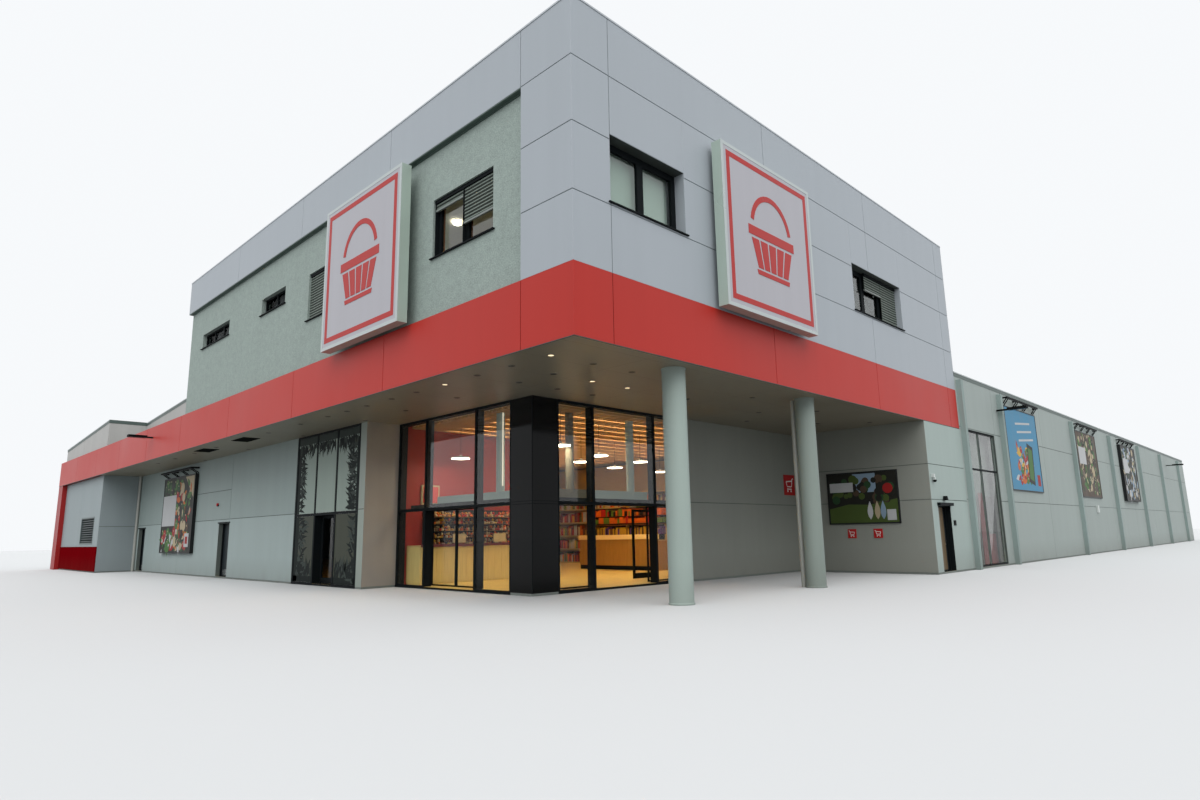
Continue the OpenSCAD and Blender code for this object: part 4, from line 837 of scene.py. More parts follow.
for u0, u1 in UPPER_BAYS:
    ragged(u0, u1, 2.40, 2.522, "top", 50)
for band in ((6.084, 6.14, 1.194, 2.36, "low_u", 60), (6.24, 6.241, 1.25, 2.36, "low_u", 70),
             (8.2, 8.321, 1.194, 2.36, "high_u", 70), (8.17, 8.321, 0.05, 1.146, "high_u", 60),
             (8.05, 8.051, 0.1, 1.1, "high_u", 30), (6.084, 6.13, 0.05, 1.146, "low_u", 50)):
    ragged(*band)
for u0, u1 in LOWER_BAYS:
    ragged(u0, u1, 0.05, 0.15, "foot", 60)
    ragged(u0, u1, 0.25, 0.251, "foot", 30)
piece = set_piece("shopfront_film", bm, film_grey, film_dark, film_low, film_mid)
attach(piece, "building")

# Ground floor glass and entrance frames
# Clear panes between dark bars over dark thresholds, two tall panels of black glass that
# fold round the corner, and a pier clad in grey sheet between the two shops.
entrance_glass = glass("entrance glass", (0.96, 0.97, 0.96, 1.0), bend=1.36)
lower_glass = glass("lower entrance glass", (0.97, 0.97, 0.96, 1.0), bend=1.16)
store_glass = glass("store window glass", (0.86, 0.87, 0.86, 1.0), bend=1.12)
dress("ground_glass", entrance_glass, lower_glass, store_glass)
for face in cad["ground_glass"].data.polygons:
    if face.center.z < 1.2:
        face.material_index = 2 if face.center.y > -10.0 else 1
dress("front_entrance_frame", anthracite)
dress("side_entrance_frame", anthracite)
pier_sheet = dict(rough=0.5, clouds=0.15, streaks=0.15, grain=0.06, splash=0.3)
pier_grey = finish("pier panel", (140, 150, 142), **pier_sheet)
black_glass = finish("black glass", (9, 10, 11), 0.05, clouds=0.2, streaks=0.0, grain=0.05, shine=0.13)
# The pier's faces across the front get a warmer tone: painted warm light from the shops.
pier_side_painted_light = finish("pier side panel, painted warm light", (156, 149, 140), **pier_sheet)
dress("entrance_pier", pier_grey, pier_side_painted_light, sort=lambda normal: 1 if abs(normal.x) > 0.5 else 0)
dress("corner_panels", black_glass)
bm = bmesh.new()
INNER_SIDE = facing_side(2.51)
block(bm, (2.502, 2.51), (1.592, 1.6), (0.03, SOFFIT_Z))
for wall, a in ((RECESS, (6.03, 8.375)), (facing_front(1.6), (2.95, 5.84)), (INNER_SIDE, (2.04, 4.66))):
    oblong(bm, wall, a, (0.0, 0.03), BED, 0.004)
oblong(bm, RECESS, (5.846, 6.024), (1.198, 1.206), BED, 0.001)
for z in (1.15, 1.185):
    block(bm, (2.51, 2.948), (1.597, 1.6), (z, z + 0.006))
    block(bm, (2.507, 2.51), (1.6, 2.04), (z, z + 0.006))
piece = set_piece("corner_panel_trims", bm, anthracite, soft=0.001)
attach(piece, "building")

# Sliding leaves, shop door and draught screen
# Each glazed leaf is one CAD solid with a frame round a thinner pane, so its pane faces
# get glass and the rest the dark frame. Round pull bars are bolted to the hinged shop door.
def glaze(node, axis):
    """Puts glass on the pane faces of a leaf, which lie near its middle along one axis."""
    dress(node, anthracite, lower_glass)
    low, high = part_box(node)
    middle = (low[axis] + high[axis]) / 2
    for face in cad[node].data.polygons:
        if abs(face.normal[axis]) > 0.9 and abs(face.center[axis] - middle) < 0.006:
            face.material_index = 1


def rod(bm, start, end, radius, look=0, sides=12):
    """A round bar between two points."""
    along = (end - start).normalized()
    side = along.orthogonal().normalized()
    other = along.cross(side)
    turns = [math.tau * i / sides for i in range(sides)]
    close_up(bm, [[bm.verts.new(p + radius * (math.cos(t) * side + math.sin(t) * other)) for t in turns]
                  for p in (start, end)], look)


for axis, nodes in ((1, ("front_leaf_left", "front_leaf_right", "shop_door")),
                    (0, ("side_leaf_near", "side_leaf_far", "draught_screen"))):
    for node in nodes:
        glaze(node, axis)
handle_white = finish("pull bar", (150, 153, 151), 0.4, metal=0.6, clouds=0.05)
bm = bmesh.new()
low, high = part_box("shop_door")
x, y, PULL = high[0] - 0.07, low[1], 0.006
rod(bm, Vector((x, y - 0.03, 0.32)), Vector((x, y - 0.03, 0.9)), PULL)
for z in (0.36, 0.86):
    rod(bm, Vector((x, y - 0.03, z)), Vector((x, y + 0.002, z)), PULL)
piece = set_piece("shop_door_pull", bm, handle_white, round_off=True)
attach(piece, "shop_door")

# Side recess and service corner
# The long wall set back under the side canopy, the short wall with the poster at its end and
# the outer corner with the service door: the same concrete panels, those under the canopy in a
# darker copy as painted shade.
# Painted shade: a darker copy of the concrete for the walls under the canopy.
shade_grey = concrete("recess concrete in painted shade", (136, 139, 132), cloud_size=0.5, streaks=0.12, grain=0.1,
                      grain_size=160.0, splash=0.4)
service_grey = concrete("service corner concrete", (154, 168, 164))
END_WALL = facing_front(8.13)
for node in ("side_recess_wall", "poster_wall", "service_wall_lower", "service_wall_upper"):
    dress(node, joint_grey)
bm = bmesh.new()
lay_panels(bm, INNER_SIDE, [4.66, 8.13], [0.03, 1.225, SOFFIT_Z])
lay_panels(bm, END_WALL, [-0.006, 2.51], [0.03, 1.225, 1.82, SOFFIT_Z])
lay_panels(bm, SIDE, [8.13, 9.8], [0.03, 1.225, 1.82, 2.552], holes=[(8.383, 8.948, 0.0, 1.125)], look=1)
piece = set_piece("recess_and_corner_panels", bm, shade_grey, service_grey, soft=0.0015)
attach(piece, "building")

# Doors in the walls
# Flat steel doors hinged inside dark frames, with levers, lock roses and kick plates: two
# under the front canopy, one in the service corner. A rubber mat lies before each hinged door.
door_dark = finish("dark door paint", (30, 38, 42), 0.45, shine=0.3, clouds=0.2, streaks=0.15, grain=0.1)
door_brown = finish("brown panel on the service door", (104, 88, 66), 0.4, clouds=0.25, streaks=0.3, grain=0.1)
steel = finish("brushed steel", (176, 180, 182), 0.3, metal=0.9, clouds=0.1, streaks=0.2, grain=0.1)
dress("door_frames", anthracite)
for node in ("plant_door", "wing_door", "service_door"):
    dress(node, door_dark)
jamb_wall, near_edge = cad["service_wall_lower"].data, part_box("service_door")[0][1]
jamb_wall.materials.append(anthracite)
for face in jamb_wall.polygons:
    if face.normal.y < -0.5 and face.center.y > near_edge:
        face.material_index = len(jamb_wall.materials) - 1
LEVER_Z, LOCK_Z, SPINDLE, LEVER, ROSE = 0.53, 0.475, 0.006, 0.005, 0.013
for body in ("plant_door", "wing_door"):
    low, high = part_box(body)
    bm = bmesh.new()
    x, y = high[0] - 0.045, high[1] - 0.03
    rod(bm, Vector((x, y + 0.001, LEVER_Z)), Vector((x, y - 0.022, LEVER_Z)), SPINDLE)
    rod(bm, Vector((x + 0.004, y - 0.02, LEVER_Z)), Vector((x - 0.055, y - 0.02, LEVER_Z)), LEVER)
    for z in (LEVER_Z, LOCK_Z):
        rod(bm, Vector((x, y + 0.001, z)), Vector((x, y - 0.003, z)), ROSE)
    leaf_face = lambda a, b, out: Vector((a, y - out, b))
    oblong(bm, leaf_face, (low[0] + 0.03, high[0] - 0.03), (0.06, 0.17), BED, 0.0015)
    piece = set_piece(body + "_fittings", bm, steel, round_off=True)
    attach(piece, body)
low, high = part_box("service_door")
bm = bmesh.new()
x, y = high[0], high[1] - 0.045
rod(bm, Vector((x - 0.001, y, LEVER_Z)), Vector((x + 0.022, y, LEVER_Z)), SPINDLE)
rod(bm, Vector((x + 0.02, y + 0.004, LEVER_Z)), Vector((x + 0.02, y - 0.055, LEVER_Z)), LEVER)
rod(bm, Vector((x - 0.001, y, LOCK_Z)), Vector((x + 0.003, y, LOCK_Z)), ROSE)
# A brown panel over the lower part of the service door.
oblong(bm, facing_side(CORNER[0] - x), (low[1] - CORNER[1] + 0.02, 8.86), (0.05, 1.1), 0.0, 0.004, 1)
piece = set_piece("service_door_fittings", bm, steel, door_brown, round_off=True)
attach(piece, "service_door")
bm = bmesh.new()
MAT, CLEAR = (0.03, 0.034), 0.008
block(bm, (0.004, CORNER[0] - x - CLEAR), (low[1] - CORNER[1] + 0.01, high[1] - CORNER[1] - 0.01), MAT)
for body in ("shop_door", "plant_door", "wing_door"):
    low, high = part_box(body)
    across = (CORNER[0] - high[0] + 0.01, CORNER[0] - low[0] - 0.01)
    block(bm, across, (1.036, low[1] - CORNER[1] - CLEAR), MAT)
mat_black = finish("rubber mat", (24, 26, 27), 0.8, clouds=0.3, grain=0.5, bump=0.3, shine=0.05)
piece = set_piece("door_mats", bm, mat_black)
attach(piece, "building")

# Small devices on the walls
# A camera, a lamp and an intercom by the service door, an alarm sounder and two door drips
# under the front canopy, and a cable box on the hall, all of them screwed to the panels.
sign_red = finish("small red sign", (170, 30, 32), 0.45, shine=0.25, clouds=0.1, grain=0.03)
device_white = finish("device housing", (190, 196, 194), 0.4, clouds=0.1)
device_black = finish("device black", (18, 20, 21), 0.5, clouds=0.1, shine=0.03)
bm = bmesh.new()
turned(bm, SIDE(8.25, 1.515, 0.045), [(0.03, 0.035), (0.034, 0.02), (0.02, 0.0), (0.006, -0.004)], 1, 16)
slab(bm, SIDE, [(8.62, 1.215), (8.72, 1.215), (8.685, 1.29), (8.655, 1.29)], 0.005, 0.07, 1)
for wall, a, b, back, front, look in (
        (SIDE, (8.22, 8.28), (1.59, 1.65), 0.005, 0.05, 0),
        (SIDE, (8.235, 8.265), (1.55, 1.6), 0.03, 0.06, 0),
        (SIDE, (9.03, 9.115), (0.79, 0.88), 0.005, 0.022, 1),
        (SIDE, (9.045, 9.1), (0.835, 0.865), 0.02, 0.025, 1),
        (SIDE, (20.05, 20.2), (1.1, 1.3), 0.005, 0.05, 0),
        (RECESS, (12.29, 12.35), (1.5, 1.56), 0.005, 0.04, 2),
        (RECESS, (12.285, 12.355), (1.495, 1.53), 0.005, 0.03, 1),
        (RECESS, (11.53, 12.23), (1.128, 1.15), 0.004, 0.022, 1),
        (RECESS, (17.77, 18.45), (1.128, 1.15), 0.004, 0.022, 1)):
    oblong(bm, wall, a, b, back, front, look)
piece = set_piece("wall_devices", bm, device_white, device_black, sign_red, soft=0.003)
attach(piece, "building")

# Small red signs
# Square plates of red sheet with a plain trolley picture in white lines: a large one on the
# long recess wall and two small ones under the poster.
sign_line = finish("white print", (226, 226, 222), 0.4, clouds=0.05)


def trolley_sign(bm, wall, a, b, size):
    """A square red plate with a white line picture of a shopping trolley."""
    oblong(bm, wall, (a, a + size), (b, b + size), 0.005, 0.014)
    s = size / 10

    def line(points, wide=0.55):
        for (x0, y0), (x1, y1) in zip(points, points[1:]):
            long = math.hypot(x1 - x0, y1 - y0)
            nx, ny = -(y1 - y0) / long * wide / 2, (x1 - x0) / long * wide / 2
            shape = [(x0 + nx, y0 + ny), (x1 + nx, y1 + ny), (x1 - nx, y1 - ny), (x0 - nx, y0 - ny)]
            slab(bm, wall, [(a + s * p, b + s * q) for p, q in shape], 0.013, 0.016, 1)

    line([(8.6, 8.2), (7.6, 8.0), (6.8, 4.2), (2.6, 4.2)])
    line([(7.3, 7.0), (2.0, 6.6), (2.7, 4.6)])
    line([(6.9, 3.0), (2.6, 3.0)])
    for c in (3.2, 6.2):
        ring = [(a + s * (c + 0.55 * math.cos(t)), b + s * (2.0 + 0.55 * math.sin(t)))
                for t in (math.tau * k / 12 for k in range(12))]
        slab(bm, wall, ring, 0.013, 0.016, 1)


bm = bmesh.new()
trolley_sign(bm, INNER_SIDE, 7.71, 1.41, 0.38)
for u in (0.87, 1.35):
    trolley_sign(bm, END_WALL, u, 0.6, 0.16)
piece = set_piece("trolley_signs", bm, sign_red, sign_line, soft=0.001)
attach(piece, "building")

# Roof signs
# Two square light boxes on brackets: an aluminium body, a white acrylic face with a red
# line set in from its edge, and a plain basket picture in place of a name.
box_side = finish("light box body", (170, 186, 176), 0.3, metal=0.2, clouds=0.1, grain=0.04)
face_white = finish("light box face", (170, 169, 176), 0.35, clouds=0.06, cloud_size=0.5, grain=0.02,
                    shine=0.3)
face_edge = finish("light box edge", (180, 188, 188), 0.3, metal=0.2, clouds=0.06)
print_red = finish("red sign print", (172, 44, 42), 0.4, shine=0.25, clouds=0.06, grain=0.02)
dress("sign_boxes", box_side)


def basket(bm, wall, a, b, w, look):
    """A shopping basket seen from the front: a rim, a body with upright slots and a hoop."""
    step = w / 12
    oblong(bm, wall, (a, a + w), (b + 5.6 * step, b + 7.0 * step), 0.0, 0.004, look)
    for i in range(5):
        top0, top1 = a + step * (0.7 + 2.2 * i), a + step * (2.5 + 2.2 * i)
        low0, low1 = a + w / 2 + (top0 - a - w / 2) * 0.74, a + w / 2 + (top1 - a - w / 2) * 0.74
        slab(bm, wall, [(low0, b + step), (low1, b + step), (top1, b + 5.2 * step), (top0, b + 5.2 * step)],
             0.0, 0.004, look)
    slab(bm, wall, [(a + 1.9 * step, b), (a + 10.1 * step, b), (a + 10.3 * step, b + 0.7 * step),
                    (a + 1.7 * step, b + 0.7 * step)], 0.0, 0.004, look)
    steps = 18
    for i in range(steps):
        t0, t1 = (math.pi * (0.06 + 0.88 * k / steps) for k in (i, i + 1))
        ring = [(a + w / 2 + r * step * math.cos(t), b + 7.0 * step + r * step * 1.05 * math.sin(t))
                for r, t in ((4.6, t0), (5.4, t0), (5.4, t1), (4.6, t1))]
        slab(bm, wall, ring, 0.0, 0.004, look)


def border(bm, wall, a, b, bar, back, front, look, lap=0.0):
    """Four bars inside the edge of an oblong; lap lets the upright bars run over the others."""
    upright = (b[0] + bar - lap, b[1] - bar + lap)
    for c, d in ((a, (b[0], b[0] + bar)), (a, (b[1] - bar, b[1])), ((a[0], a[0] + bar), upright),
                 ((a[1] - bar, a[1]), upright)):
        oblong(bm, wall, c, d, back, front, look)


SIGN_Z, SIGN_SIZE, RIM, INSET, LINE = 3.29, 2.04, 0.045, 0.095, 0.07
bm = bmesh.new()
for wall, a in ((facing_front(-0.2), 2.85), (facing_side(-0.2), 2.225)):
    across, up = (a, a + SIGN_SIZE), (SIGN_Z, SIGN_Z + SIGN_SIZE)
    oblong(bm, wall, (across[0] + RIM, across[1] - RIM), (up[0] + RIM, up[1] - RIM), BED, 0.003)
    border(bm, wall, across, up, RIM, BED, 0.006, 1)
    face = lambda p, q, out: wall(p, q, out + 0.003)
    across, up = (across[0] + INSET, across[1] - INSET), (up[0] + INSET, up[1] - INSET)
    border(bm, face, across, up, LINE, 0.0, 0.002, 2)
    basket(bm, face, a + 0.5, SIGN_Z + 0.52, 1.04, 2)
piece = set_piece("sign_faces", bm, face_white, face_edge, print_red, soft=0.001)
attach(piece, "building")

# Poster boards
# Printed sheets in thin dark frames: three on the side, one under each canopy. The prints
# are plain drawings of fruit, leaves and hills with bare white panels.
board_edge = finish("poster frame", (22, 25, 26), 0.45, clouds=0.1, shine=0.25)
PRINTS = {"green": (38, 66, 40), "leaf": (62, 104, 46), "dark": (30, 30, 26), "white": (178, 180, 182),
          "orange": (180, 92, 38), "red": (146, 32, 32), "blue": (66, 130, 164), "sky": (128, 150, 170),
          "yellow": (196, 156, 60), "cream": (172, 158, 130), "grass": (66, 82, 38), "brown": (72, 58, 46)}
INKS = list(PRINTS)
prints = [finish("print " + name, card, 0.5, clouds=0.3, cloud_size=3.0, grain=0.1, streaks=0.0, shine=0.2)
          for name, card in PRINTS.items()]
FRONT_BOARD = (facing_front(0.955), 13.75, 0.495, 2.35, 1.815)
END_BOARD = (facing_front(8.105), 0.526, 0.847, 1.311, 0.919)
SIDE_BOARDS = [(facing_side(-out), v, 1.507, 2.3, 1.809)
               for v, out in ((12.55, 0.025), (18.59, 0.025), (24.12, 0.09))]
FRAME = 0.022
dress("poster_boards", board_edge)
bm = bmesh.new()


def ink(name):
    """The place of a printing colour among the materials of the sheets."""
    return INKS.index(name)


def dot(wall, a, b, radius, look, out):
    """A round fruit, a tree top or the light spot on one of them."""
    turns = [math.tau * k / 16 for k in range(16)]
    slab(bm, wall, [(a + radius * math.cos(t), b + radius * math.sin(t)) for t in turns], 0.0, out, look)


def leaf(wall, length, width, angle, look, out):
    """A pointed leaf or root, from its stem to its tip."""
    half = [(length * (k / 6), width * math.sin(math.pi * (k / 6) ** 0.8)) for k in range(7)]
    shape = half + [(p, -q) for p, q in half[5:0:-1]]
    ca, sa = math.cos(angle), math.sin(angle)
    slab(bm, wall, [(p * ca - q * sa, p * sa + q * ca) for p, q in shape], 0.0, out, look)


def poster(wall, a, b, w, h, ground):
    """The bare sheet of a poster in its frame."""
    oblong(bm, wall, (a + 0.02, a + w - 0.02), (b + 0.02, b + h - 0.02), BED, 0.002, ink(ground))
    return lambda p, q, out: wall(a + p * w, b + q * h, out + 0.002)


def spot_on(sheet, size, p, q):
    """A place to draw on a sheet, in metres round the point p, q, which are shares of its size."""
    return lambda a, b, out: sheet(p + a / size[0], q + b / size[1], out)


def harvest(sheet, size, seed, count, inks, low, high):
    """A heap of fruit, leaves and roots in one part of a sheet, drawn in seeded order."""
    dice = random.Random(seed)
    for i in range(count):
        p, q = dice.uniform(low[0], high[0]), dice.uniform(low[1], high[1])
        look, out = ink(dice.choice(inks.split())), 0.0004 + 0.00002 * i
        here = spot_on(sheet, size, p, q)
        if dice.random() < 0.45:
            dot(here, 0.0, 0.0, dice.uniform(0.05, 0.13), look, out)
            dot(here, 0.02, 0.03, 0.022, ink("cream"), out + 0.0001)
        else:
            long = dice.uniform(0.18, 0.36)
            turn = dice.uniform(0, math.tau)
            long = min(long, 0.9 * size[0] * min(p, 1 - p) + 0.1, 0.9 * size[1] * min(q, 1 - q) + 0.1)
            leaf(here, long, long * 0.2, turn, look, out)


front_poster = poster(*FRONT_BOARD, "dark")
slab(bm, front_poster, [(0.03, 0.7), (0.3, 0.98), (0.03, 0.98)], 0.0, 0.0003, ink("cream"))
for heap in ((3, 110, "orange red leaf green brown cream dark", (0.1, 0.06), (0.55, 0.9)),
             (4, 50, "green leaf green dark", (0.5, 0.72), (0.94, 0.94)),
             (5, 60, "green leaf white red leaf", (0.4, 0.05), (0.94, 0.28))):
    harvest(front_poster, FRONT_BOARD[3:], *heap)
oblong(bm, front_poster, (0.55, 0.985), (0.355, 0.76), 0.0, 0.005, ink("white"))
oblong(bm, front_poster, (0.07, 0.2), (0.08, 0.25), 0.0, 0.005, ink("white"))
oblong(bm, front_poster, (0.1, 0.17), (0.12, 0.21), 0.0, 0.006, ink("red"))
end_poster, end_size = poster(*END_BOARD, "dark"), END_BOARD[3:]
oblong(bm, end_poster, (0.3, 0.62), (0.6, 0.96), 0.0, 0.0006, ink("sky"))
meadow = [(0.02, 0.02), (0.98, 0.02), (0.98, 0.3), (0.7, 0.38), (0.4, 0.36), (0.02, 0.46)]
slab(bm, end_poster, meadow, 0.0, 0.001, ink("grass"))
dice = random.Random(11)
for k in range(60):
    here = spot_on(end_poster, end_size, dice.uniform(0.1, 0.91), dice.uniform(0.42, 0.86))
    radius = dice.uniform(0.04, 0.085)
    dot(here, 0.0, 0.0, radius, ink(dice.choice("dark dark grass green brown".split())), 0.0012 + 0.00003 * k)
dot(spot_on(end_poster, end_size, 0.14, 0.66), 0.0, 0.0, 0.09, ink("red"), 0.0034)
for p, shade in ((0.30, "cream"), (0.40, "white"), (0.22, "sky")):
    leaf(spot_on(end_poster, end_size, p, 0.08), 0.32, 0.05, math.pi / 2, ink(shade), 0.0034)
oblong(bm, end_poster, (0.62, 0.96), (0.62, 0.8), 0.0, 0.0036, ink("white"))
oblong(bm, end_poster, (0.05, 0.17), (0.06, 0.26), 0.0, 0.003, ink("white"))
for board, ground, heap in zip(SIDE_BOARDS, ("blue", "brown", "dark"), (
        (21, 60, "orange yellow leaf red white", (0.28, 0.1), (0.72, 0.52)),
        (22, 150, "green brown cream dark leaf cream", (0.08, 0.06), (0.92, 0.94)),
        (23, 150, "dark sky cream green white", (0.08, 0.06), (0.92, 0.94)))):
    sheet = poster(*board, ground)
    harvest(sheet, board[3:], *heap)
    if ground == "blue":
        for k in range(3):
            a, b = 0.3 + 0.03 * k, 0.8 - 0.1 * k
            stripe = [(a, b), (a + 0.48, b + 0.05), (a + 0.48, b + 0.075), (a, b + 0.025)]
            slab(bm, sheet, stripe, 0.0, 0.001, ink("white"))
        slab(bm, sheet, [(0.56, 0.12), (0.74, 0.08), (0.78, 0.56), (0.6, 0.6)], 0.0, 0.0022, ink("dark"))
        slab(bm, sheet, [(0.59, 0.16), (0.72, 0.13), (0.75, 0.52), (0.62, 0.55)], 0.0, 0.0026, ink("leaf"))
        oblong(bm, sheet, (0.84, 0.94), (0.08, 0.22), 0.0, 0.001, ink("red"))
    else:
        oblong(bm, sheet, (0.07, 0.4), (0.5, 0.76), 0.0, 0.004, ink("white"))
for wall, a, b, w, h in (FRONT_BOARD, END_BOARD, *SIDE_BOARDS):
    border(bm, wall, (a, a + w), (b, b + h), FRAME, BED, 0.008, len(INKS), lap=FRAME)
piece = set_piece("poster_prints", bm, *prints, board_edge)
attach(piece, "building")

# Outdoor lamps
# Dark lamp rails over the posters, held out from the wall by pairs of slanting arms, and
# three flat floodlights. Rails, straight arms and bodies are CAD; the rest is added.
lamp_dark = finish("lamp metal", (20, 22, 23), 0.55, clouds=0.2, grain=0.1, shine=0.03)
lens = finish("floodlight lens", (44, 48, 49), 0.3, clouds=0.2, grain=0.05, shine=0.1)
dress("wall_lamps", lamp_dark)
bm = bmesh.new()


def slanting_arms(wall, a, w, b, reach, drop):
    """Four pairs of thin arms from the wall up and out to a rail, and the lens strip under the rail."""
    for i in range(4):
        for side in (-0.06, 0.06):
            c = a + 0.1 + (w - 0.2) / 3 * i + side
            rod(bm, wall(c, b - drop, 0.0), wall(c, b + 0.017, reach - 0.017), 0.011, 0, 10)
    oblong(bm, wall, (a + 0.02, a + w - 0.02), (b - 0.008, b + 0.001), reach - 0.03, reach - 0.006, 1)


slanting_arms(RECESS, 13.75, 2.35, 2.422, 0.19, 0.1)
for v in (12.55, 18.59, 24.12):
    slanting_arms(SIDE, v, 2.3, 3.456, 0.12, 0.125)
block(bm, (13.605, 13.735), (-0.475, -0.145), (3.0255, 3.0305), 1)
for v in (12.13, 33.75):
    oblong(bm, SIDE, (v - 0.06, v + 0.06), (3.1255, 3.1305), 0.24, 0.57, 1)
piece = set_piece("lamp_arms_and_lenses", bm, lamp_dark, lens, round_off=True)
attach(piece, "building")

# Wall between the shops
# A board partition painted red, with fine upright joints, which divides the small shop from
# the entrance hall and shows through the glass of both.
inner_red = finish("red wall paint", (162, 40, 32), 0.6, clouds=0.1, grain=0.05,
                   laid=dict(joint_colour=paint(120, 28, 24), long=0.3, wide=3.0, joint=0.003, tone=0.05))
dress("shop_partition", inner_red)

# Counters
# Two shop counters clad in upright oak battens over a plinth, with oak tops: one beside the
# front entrance, and one further back, its oak darker as painted shade, with a pale edge along its upper
# shelf.
def wood(name, card, fineness):
    """Oiled wood: long fibres along the board and a slow change from light to dark."""
    made, tree, skin = blank(name)
    colour = paint(*card)
    spot = put(tree, "TexCoord").outputs["Object"]
    long = put(tree, "Mapping", {"Vector": spot, "Scale": fineness}).outputs[0]
    fibre = put(tree, "TexNoise", {"Vector": long, "Scale": 3.0, "Detail": 6.0, "Distortion": 0.6}).outputs[0]
    dark = [c * 0.62 for c in colour[:3]] + [1.0]
    tree.links.new(blend(tree, fibre, dark, colour), skin.inputs["Base Color"])
    tree.links.new(maths(tree, "MULTIPLY_ADD", fibre, 0.2, 0.35), skin.inputs["Roughness"])
    bump = put(tree, "Bump", {"Height": fibre, "Strength": 0.15, "Distance": 0.002})
    tree.links.new(bump.outputs[0], skin.inputs["Normal"])
    return made


oak = wood("oak front", (226, 204, 130), (22.0, 22.0, 1.2))
# Painted shade: the far counter's oak front is a darker copy of the near one.
oak_painted_shade = wood("oak front, far counter, in painted shade", (186, 136, 62), (22.0, 22.0, 1.2))
counter_edge = finish("counter edge", (250, 222, 146), 0.5, clouds=0.15, grain=0.1)
oak_top = wood("oak top", (206, 176, 112), (3.0, 20.0, 20.0))
dress("counters", oak, oak_painted_shade)
for face in cad["counters"].data.polygons:
    face.material_index = 1 if face.center.y > place(0.0, 5.0, 0.0).y else 0
COUNTER_Z, TOP_Z = (0.05, 0.6), (0.606, 0.626)
bm = bmesh.new()
for i in range(14):
    v = 1.8 + 2.0 * i / 14
    block(bm, (5.43, 5.441), (v + 0.001, v + 0.1415), COUNTER_Z)
for i in range(3):
    u = 5.44 + 0.4 * i / 3
    block(bm, (u + 0.001, u + 0.132), (1.79, 1.801), COUNTER_Z)
for i in range(22):
    u = 4.78 + 2.2 * i / 22
    block(bm, (u + 0.001, u + 0.096), (6.688, 6.701), (0.115, 0.64), 1)
block(bm, (4.78, 6.98), (6.7, 6.72), (0.606, 0.64), 1)
block(bm, (4.79, 6.97), (6.69, 6.7), (0.031, 0.113), 2)
piece = set_piece("counter_battens", bm, oak, oak_painted_shade, anthracite, soft=0.001)
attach(piece, "building")
bm = bmesh.new()
block(bm, (5.41, 5.838), (1.785, 3.82), TOP_Z)
block(bm, (4.76, 7.0), (6.66, 6.72), (0.64, 0.735), 1)
block(bm, (4.76, 7.0), (6.72, 7.12), TOP_Z)
piece = set_piece("counter_tops", bm, oak_top, counter_edge, soft=0.003)
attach(piece, "building")

# Shop ceiling
# Wood battens hung in rows under a cream board, which is fixed to the soffit, with warm
# light strips above the gaps between them.
batten_wood = wood("ceiling batten", (204, 162, 108), (20.0, 1.0, 20.0))
ceiling_cream = finish("shop ceiling", (224, 200, 158), 0.8, clouds=0.1, grain=0.05)
strip_light = glowing("ceiling strip", (1.0, 0.84, 0.58, 1.0), 22.0)
bm = bmesh.new()
ENTRANCE_U = 5.75
oblong(bm, SOFFIT, (2.7, 5.83), (1.79, 9.6), 0.0, 0.006, 1)
oblong(bm, SOFFIT, (5.83, 10.5), (4.41, 9.6), 0.0, 0.006, 1)
for i in range(77):
    u = 2.72 + 0.1 * i
    block(bm, (u, u + 0.05), (1.79 if u < ENTRANCE_U else 4.42, 8.6), (2.50, 2.535))
for i in range(1, 19):
    u = 2.795 + 0.4 * i
    block(bm, (u - 0.012, u + 0.012), (2.4 if u < ENTRANCE_U else 4.6, 8.5), (2.545, 2.553), 2)
piece = set_piece("ceiling_battens", bm, batten_wood, ceiling_cream, strip_light)
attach(piece, "building")

# Pendant lamps
# Flat round lamps with a white metal shade and a glowing disc in its underside, each hung
# from the ceiling on a thin dark rod.
disc_white = finish("lamp shade", (226, 222, 210), 0.4, clouds=0.05)
disc_light = glowing("pendant light", (1.0, 0.88, 0.68, 1.0), 30.0)
PENDANTS = [(5.2, 2.35), (2.93, 2.47), (4.48, 4.36), (3.58, 3.9), (4.93, 5.68), (3.88, 5.23), (5.07, 7.18),
            (3.2, 6.6), (4.2, 8.2)]
PENDANT_Z = 2.0
bm = bmesh.new()
for u, v in PENDANTS:
    spot = place(u, v, PENDANT_Z)
    turned(bm, spot, [(0.148, 0.0), (0.155, 0.008), (0.15, 0.02), (0.03, 0.035), (0.012, 0.06)], 0, 40)
    turned(bm, spot, [(0.146, -0.004), (0.146, 0.001)], 1, 40)
    rod(bm, spot + Vector((0, 0, 0.06)), spot + Vector((0, 0, 0.5)), 0.003, 2, 6)
piece = set_piece("pendant_lamps", bm, disc_white, disc_light, anthracite, round_off=True)
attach(piece, "building")

# Draught lobby
# Painted box beams over the entrance lobby on round posts up to the ceiling, and one
# upright light tube held by two short arms.
post_green = finish("lobby post paint", (168, 184, 176), 0.5, clouds=0.1, grain=0.03)
